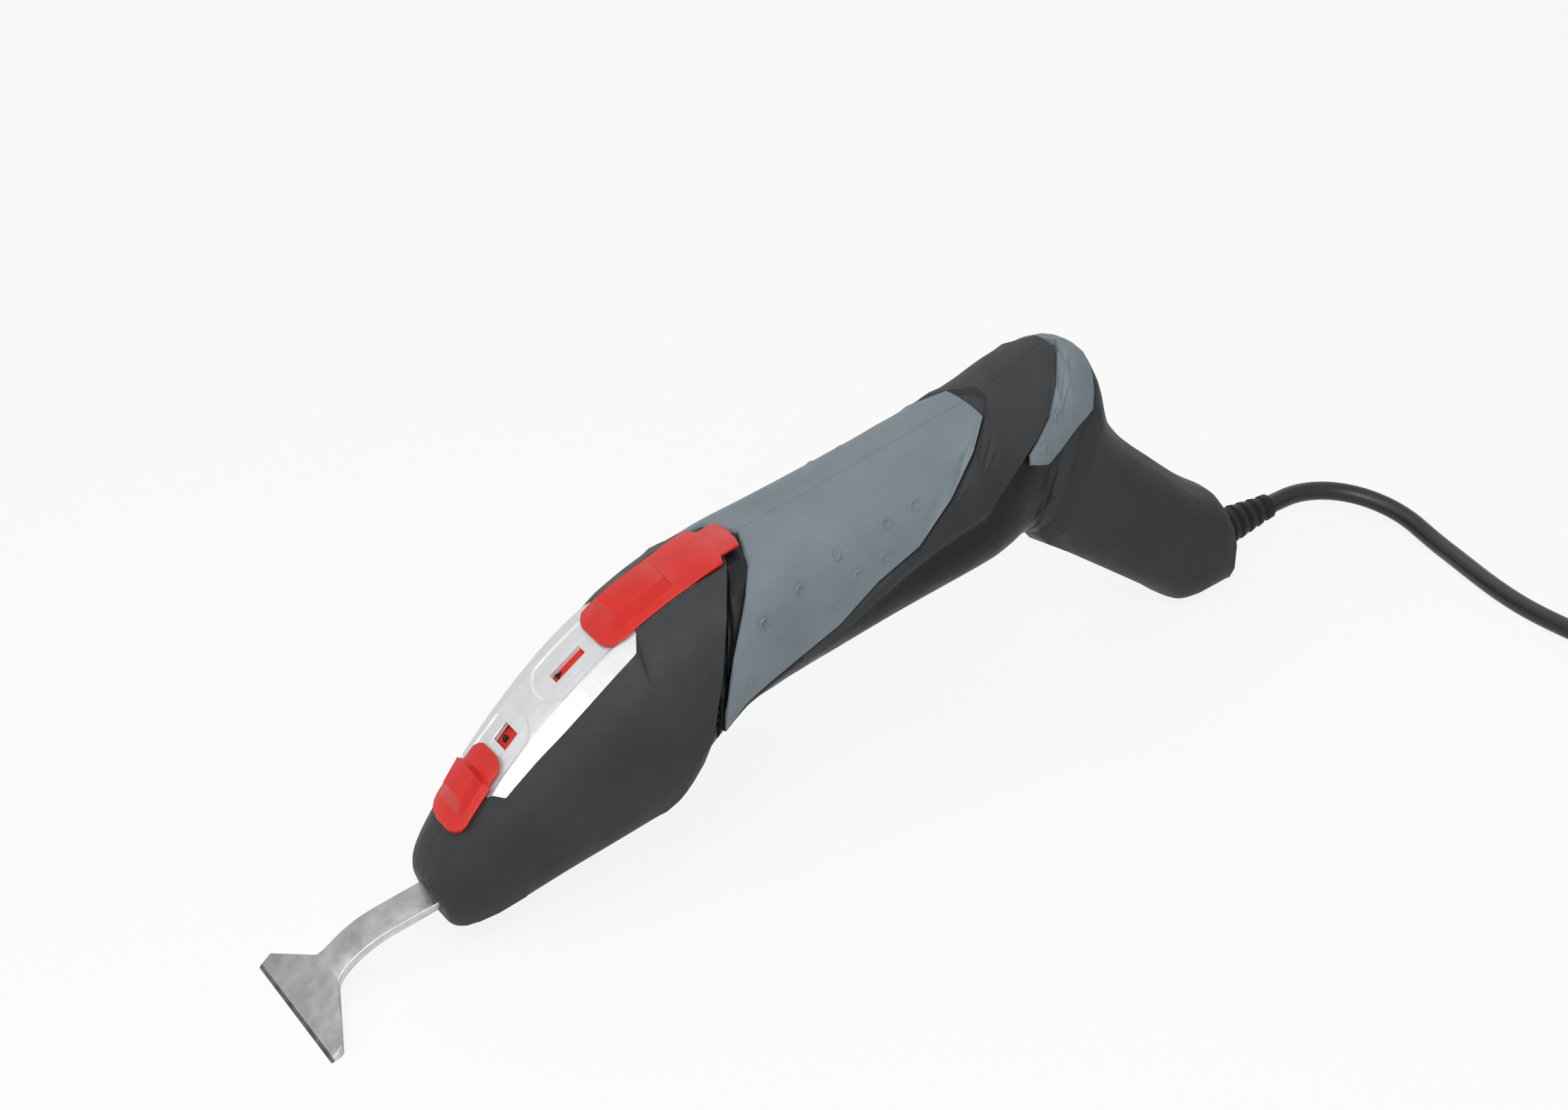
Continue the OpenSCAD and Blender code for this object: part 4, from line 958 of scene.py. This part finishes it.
class SCRAPER_OT_plate(bpy.types.Operator):
    """Make the dial plate with its tracks, windows and numerals"""

    bl_idname = "scraper.plate"
    bl_label = "Dial plate"

    def execute(self, context):
        crown = Crown()
        silver = silver_paint("silver paint", colours().plate, metallic=0.35)
        pale = silver_paint("pale paint", scaled(colours().plate, 1.1), metallic=0.0)
        self.sheet(crown, silver)
        self.frames(crown, pale)
        for text, x in NUMERALS:
            self.numeral(context, crown, pale, text, x)
        return {"FINISHED"}

    def edge(self, crown, shell, x):
        """The plate's half width and edge height at x, by the shell's rim or else the crown."""
        wall = rim(shell, x) if x < RIM_LAST else None
        if wall:
            return wall[0], wall[1] + RIM_PROUD
        half = crown.half(x) + PLATE_FILL
        return half, crown.at(x, half) + EDGE_LIFT

    def sheet(self, crown, finish):
        """The plate as a thin sheet from rim to rim, with its tracks and open windows."""
        shell = carrier("shell_left")
        rows, columns = PLATE_GRID
        bm = bmesh.new()
        bmesh.ops.create_grid(bm, x_segments=rows, y_segments=columns, size=0.5)
        edges = {}
        for vertex in bm.verts:
            row = round((vertex.co.x + 0.5) * rows)
            x = mix(*PLATE_ENDS, row / rows)
            if row not in edges:
                edges[row] = self.edge(crown, shell, x)
            half, edge_z = edges[row]
            y = 2 * vertex.co.y * half
            z = crown.at(x, y) + CREASE_RISE * ease(part_way(abs(y), (CREASE_FROM, CREASE_Y)))
            if abs(y) > CREASE_Y:
                crease_z = crown.at(x, math.copysign(CREASE_Y, y)) + CREASE_RISE
                z = mix(crease_z, edge_z, (abs(y) - CREASE_Y) / max(0.1, half - CREASE_Y))
            vertex.co = tool(x, y, z - track_drop(x, y))
        smoothed(bm)
        holes = LOCK_WINDOW, SPEED_WINDOW, *STEM_SLOTS
        gone = [face for face in bm.faces if any(in_window(face, hole) for hole in holes)]
        bmesh.ops.delete(bm, geom=gone, context="FACES")
        plate = placed("dial_plate", bm, [finish], ["top_plate"])
        walled(plate, PLATE_WALL * MM)
        bevelled(plate, 0.00012, 65)

    def frames(self, crown, finish):
        """Walls down from the windows, open where the sliders pass."""
        bm = bmesh.new()
        for window, deep in ((LOCK_WINDOW, LOCK_FRAME_DEEP), (SPEED_WINDOW, SPEED_FRAME_DEEP)):
            middle, reach, half = window
            spot = crown.spot(middle, 0, -FRAME_TOP - deep / 2)
            along, out = spot.col[0].xyz, spot.col[2].xyz
            long, wide = 2 * reach / ALONG.dot(along) + FRAME_ROOM, 2 * half + FRAME_ROOM
            size = Matrix.Diagonal((long * MM, wide * MM, deep * MM, 1))
            made = shaped(bm, bmesh.ops.create_cube, spot @ size, size=1)
            ends = []
            for face in dict.fromkeys(face for vertex in made for face in vertex.link_faces):
                lying, facing = face.normal.dot(out), face.normal.dot(along)
                rear = window is LOCK_WINDOW and facing > SQUARELY
                if abs(lying) > SQUARELY or facing < -SQUARELY or rear:
                    ends.append(face)
            bmesh.ops.delete(bm, geom=ends, context="FACES_ONLY")
        bmesh.ops.recalc_face_normals(bm, faces=bm.faces)
        bmesh.ops.solidify(bm, geom=bm.faces, thickness=FRAME_WALL * MM)
        frames = placed("window_frames", bm, [finish])
        bevelled(frames, 0.00012, 40)

    def numeral(self, context, crown, finish, text, x):
        """A raised numeral beside the speed window."""
        letters = given(
            bpy.data.curves.new("numeral", "FONT"), body=text, size=sizes().numeral * NUMERAL_FONT,
            extrude=NUMERAL_LIFT * MM, bevel_depth=0.00005, align_x="CENTER", align_y="CENTER")
        drawn = linked("numeral", letters)
        mesh = bpy.data.meshes.new_from_object(drawn.evaluated_get(context.evaluated_depsgraph_get()))
        bpy.data.objects.remove(drawn)
        mesh.transform(crown.spot(x, NUMERAL_Y, NUMERAL_LIFT - track_drop(x, NUMERAL_Y)))
        bm = bmesh.new()
        bm.from_mesh(mesh)
        bpy.data.meshes.remove(mesh)
        bmesh.ops.remove_doubles(bm, verts=bm.verts, dist=WELD / 2)
        placed("numeral_" + text, bm, [finish])


# Sliders: heights above the plate and places along the tool, in millimetres

SLAB_FOOT = 0.4
SLAB_TOP = 2.7
SLAB_SINK = 0.42
SLAB_FADE = (156, 142)
PROBE_Y = (4.2, 9)
TONGUE_TOP = -1.4
TONGUE_SINK = 0.7
POINTER_X = 104.9
PADLOCK_X = 84.6

# The marks on them, in metres

MARK_LIFT = 0.00004
MARK_THICK = 0.00012
POINTER_R = 0.0016
POINTER_ASIDE = 0.0009
PADLOCK_ASIDE = 0.0014
PADLOCK_SIZE = (0.0021, 0.0016, MARK_THICK)
PADLOCK_DOWN = 0.0005
SHACKLE_R = 0.00075
SHACKLE_ROUND = 0.0002
SHACKLE_UP = 0.0003


class SCRAPER_OT_sliders(bpy.types.Operator):
    """Finish the two sliders with their pointer and padlock"""

    bl_idname = "scraper.sliders"
    bl_label = "Sliders"

    def execute(self, context):
        red = glossy_plastic("slider red", colours().slider, roughness=0.36)
        for node, body in (("speed_slider", "speed"), ("lock_slider", "lock")):
            bm = copied(node)
            self.sunk(bm, node)
            slider = placed(node.replace("_slider", "") + "_button", bm, [red], [node], body)
            bevelled(slider, 0.0003, 26, segments=3)
        crown = Crown()
        ink = moulded("mark black", shade("151515"), 0.5, grain=0.0006, depth=0.00002)
        self.pointer(crown, ink)
        self.padlock(crown, ink)
        return {"FINISHED"}

    def sunk(self, bm, node):
        """Sets the tongues deeper and the speed slider's slab lower."""
        tree = carrier("shell_left", "shell_right", "top_plate")
        near, far = PROBE_Y
        for vertex in bm.verts:
            spot = on_tool(vertex.co)
            inner, outer = (below(tree, spot.x, y)[0] for y in PROBE_Y)
            if inner is None or outer is None:
                continue
            inner, outer = on_tool(inner).z, on_tool(outer).z
            fall = (inner - outer) / (far ** 2 - near ** 2)
            lift = spot.z - inner - fall * (near ** 2 - spot.y ** 2)
            if lift < TONGUE_TOP:
                vertex.co -= UP * TONGUE_SINK * MM
            elif node == "speed_slider" and lift > SLAB_FOOT:
                sink = SLAB_SINK * ease(part_way(spot.x, SLAB_FADE))
                vertex.co -= UP * (min(lift, SLAB_TOP) - SLAB_FOOT) * sink * MM

    def tongue(self, node, crown, x):
        """Axes on top of a slider's tongue at x."""
        place, _ = below(carrier(node), x, 0)
        spot = crown.spot(x, 0, 0)
        spot.translation = place + spot.col[2].xyz * MARK_LIFT - UP * TONGUE_SINK * MM
        return spot

    def pointer(self, crown, ink):
        """A flat arrow head on the speed slider's tongue."""
        bm = bmesh.new()
        aside = Matrix.Translation((0, POINTER_ASIDE, 0)) @ Matrix.Rotation(-math.pi / 2, 4, "Z")
        shaped(
            bm, bmesh.ops.create_cone, self.tongue("speed_slider", crown, POINTER_X) @ aside, cap_ends=True,
            segments=3, radius1=POINTER_R, radius2=POINTER_R, depth=MARK_THICK)
        placed("speed_pointer", bm, [ink], body="speed")

    def padlock(self, crown, ink):
        """A flat padlock on the lock slider's tongue."""
        bm = bmesh.new()
        spot = self.tongue("lock_slider", crown, PADLOCK_X) @ Matrix.Translation((0, PADLOCK_ASIDE, 0))
        block = spot @ Matrix.Translation((0, -PADLOCK_DOWN, 0)) @ Matrix.Diagonal((*PADLOCK_SIZE, 1))
        shaped(bm, bmesh.ops.create_cube, block, size=1)
        start = spot @ Matrix.Translation((SHACKLE_R, SHACKLE_UP, 0)) @ Matrix.Rotation(math.pi / 2, 4, "X")
        middle = spot @ Vector((0, SHACKLE_UP, 0))
        swept(bm, start, SHACKLE_ROUND, 8, middle, spot.col[2].xyz, math.pi, steps=12)
        bmesh.ops.recalc_face_normals(bm, faces=bm.faces)
        placed("lock_mark", bm, [ink], body="lock")


# Blade: the width of the band of painted shade along its cutting edge in millimetres, and the turn of its
# grain

EDGE_SHADE_BAND = 1.1
BLADE_TURN = (0, -0.09, 0)


class SCRAPER_OT_blade(bpy.types.Operator):
    """Finish the scraper blade"""

    bl_idname = "scraper.blade"
    bl_label = "Blade"

    def execute(self, context):
        tint = colours().steel
        steel = metal("blade steel", tint, 0.42, (BLADE_TURN, (1, 0.25, 1)), wear=0.2)
        # The side walls are painted half as light again as the blade: a painted highlight
        side_highlight = metal("sides with painted highlight", scaled(tint, 1.5), 0.34, (BLADE_TURN, (0.3, 1.6, 1)), wear=0.3)
        # The band along the cutting edge is painted far darker, a painted shade, with rough and heavily
        # mottled wear
        edge_shade = metal("edge shade and wear", scaled(tint, 0.3), 0.6, (BLADE_TURN, (1, 1, 1)), wear=0.7)
        bm = copied("blade")
        everything = [*bm.verts, *bm.edges, *bm.faces]
        bmesh.ops.bisect_plane(
            bm, geom=everything, dist=CUT_REACH, plane_co=tool(EDGE_SHADE_BAND, 0, 0), plane_no=ALONG)
        # Faces by the cutting edge take the painted shade, and the side faces the painted highlight
        for face in bm.faces:
            if on_tool(face.calc_center_median()).x < EDGE_SHADE_BAND:
                face.material_index = 2
            elif abs(face.normal.y) > 0.5:
                face.material_index = 1
        blade = placed("scraper_blade", bm, [steel, side_highlight, edge_shade], ["blade"], "scraper")
        bevelled(blade, 0.0003, 28)
        return {"FINISHED"}


class SCRAPER_OT_drive(bpy.types.Operator):
    """Finish the drive, motor and fittings inside the housing"""

    bl_idname = "scraper.drive"
    bl_label = "Drive"

    def execute(self, context):
        finishes = {
            metal("turned steel", shade("a9abae"), 0.28, ((0, 0, 0), (0.2, 1, 1))): (
                "plunger", "crank_shaft", "crank_roller", "crank_bearing", "armature_shaft", "front_bearing",
                "rear_bearing", "clamp_screws"),
            metal("hardened steel", shade("707377"), 0.36): ("clamp_shoe", "crown_gear", "pinion"),
            metal("sintered bronze", shade("a9824a"), 0.5): ("plunger_bush", "crank_bush", "brush_holders"),
            metal("die-cast alloy", shade("b4b6b9"), 0.48): ("gear_frame",),
            metal("laminated iron", shade("6b6e72"), 0.5, ((0, 0, 0), (8, 1, 1))): (
                "armature_core", "stator"),
            metal("enamelled copper", shade("a8632e"), 0.36, ((0, 0, 0), (1, 5, 5))): (
                "armature_windings", "field_coils", "commutator"),
            moulded("inner plastic", shade("3c3f43"), 0.5, 0.0008, 0.00005): (
                "fan", "end_shield", "cord_clamp"),
            moulded("board green", shade("2c6a45"), 0.4, 0.0012, 0.00003): ("control_board",),
            moulded("capacitor yellow", shade("c59d39"), 0.4, 0.0016, 0.00003): ("capacitor",),
            moulded("brush carbon", shade("2c2d2f"), 0.6, 0.0004, 0.00006): ("carbon_brushes",),
        }
        for finish, nodes in finishes.items():
            for node in nodes:
                dressed(node, finish)
        return {"FINISHED"}


# Stage: the share of white that the floor shows, the surround's light, each lamp's place, size and power

FLOOR_WHITE = 0.86
SURROUND_LIGHT = 0.16
LAMPS = (
    ("Key", (-0.4, -0.7, 0.9), 0.7, 7.4), ("Left", (-0.85, 0.1, 0.8), 0.6, 2.3),
    ("Top", (0, 0, 1.1), 0.8, 1.9), ("Rim", (0.4, 0.8, 0.7), 0.8, 1.2))
LAMP_AIM = Vector((0, 0, 0.05))
WHITE = (1, 1, 1, 1)


def shown_white(tree, lit, white, output, share):
    """Shows a share of plain white to the rays that look, and leaves the light as it is."""
    rays = joined(tree, "LightPath", {}).outputs
    looks = rays["Is Camera Ray"]
    for kind in ("Is Glossy Ray", "Is Transmission Ray"):
        either = joined(tree, "Math", {0: looks, 1: rays[kind]})
        either.operation = "MAXIMUM"
        looks = either.outputs[0]
    part = joined(tree, "Math", {0: looks})
    part.operation = "MULTIPLY"
    part.inputs[1].default_value = share
    blend = joined(tree, "MixShader", {0: part.outputs[0], 1: lit.outputs[0], 2: white.outputs[0]})
    tree.links.new(blend.outputs[0], output.inputs[0])


class SCRAPER_OT_stage(bpy.types.Operator):
    """Set the floor, the soft light and the white surround"""

    bl_idname = "scraper.stage"
    bl_label = "Stage"

    def execute(self, context):
        self.floor()
        self.surround(context)
        for name, spot, size, power in LAMPS:
            data = given(bpy.data.lights.new(name, "AREA"), shape="DISK", size=size, energy=power)
            lamp = given(linked(name, data), location=spot)
            lamp.rotation_euler = (LAMP_AIM - lamp.location).to_track_quat("-Z", "Y").to_euler()
        context.scene.view_settings.view_transform = "Standard"
        return {"FINISHED"}

    def floor(self):
        """A wide pale floor, shown nearly white."""
        finish = Finish("pale floor", roughness=0.8, specular=0.1)
        finish.set("Base Color", (*colours().floor, 1))
        white = joined(finish.tree, "Emission", {}, Color=WHITE)
        shown_white(finish.tree, finish.shader, white, finish.tree.nodes["Material Output"], FLOOR_WHITE)
        bm = bmesh.new()
        bmesh.ops.create_grid(bm, x_segments=1, y_segments=1, size=3)
        floor = meshed("floor", bm, [finish])

    def surround(self, context):
        """A weak even light from all around, shown white."""
        world = context.scene.world = bpy.data.worlds.new("Surround")
        world.use_nodes = True
        tree = world.node_tree
        light = tree.nodes["Background"]
        light.inputs["Color"].default_value = WHITE
        light.inputs["Strength"].default_value = SURROUND_LIGHT
        white = joined(tree, "Background", {}, Color=WHITE)
        shown_white(tree, light, white, tree.nodes["World Output"], share=1.0)


ORDER = ("camera", "lead", "housing", "pads", "plate", "sliders", "blade", "drive", "stage")


class SCRAPER_PT_panel(bpy.types.Panel):
    """Lists the scraper's pieces in the order they are made"""

    bl_idname = "SCRAPER_PT_panel"
    bl_label = "Power scraper"
    bl_space_type = "VIEW_3D"
    bl_region_type = "UI"
    bl_category = "Scraper"

    def draw(self, context):
        for name in ORDER:
            self.layout.operator("scraper." + name)
        for group in (colours(), sizes()):
            for key in group.__annotations__:
                self.layout.prop(group, key)


CLASSES = (
    ScraperColours, ScraperSizes, SCRAPER_OT_camera, SCRAPER_OT_lead, SCRAPER_OT_housing, SCRAPER_OT_pads,
    SCRAPER_OT_plate, SCRAPER_OT_sliders, SCRAPER_OT_blade, SCRAPER_OT_drive, SCRAPER_OT_stage,
    SCRAPER_PT_panel)


def register():
    for cls in CLASSES:
        bpy.utils.register_class(cls)
    bpy.types.Scene.scraper_colours = bpy.props.PointerProperty(type=ScraperColours)
    bpy.types.Scene.scraper_sizes = bpy.props.PointerProperty(type=ScraperSizes)


def unregister():
    del bpy.types.Scene.scraper_colours
    del bpy.types.Scene.scraper_sizes
    for cls in reversed(CLASSES):
        bpy.utils.unregister_class(cls)


def main():
    register()
    for name in ORDER:
        getattr(bpy.ops.scraper, name)()


if __name__ == "__main__":
    main()
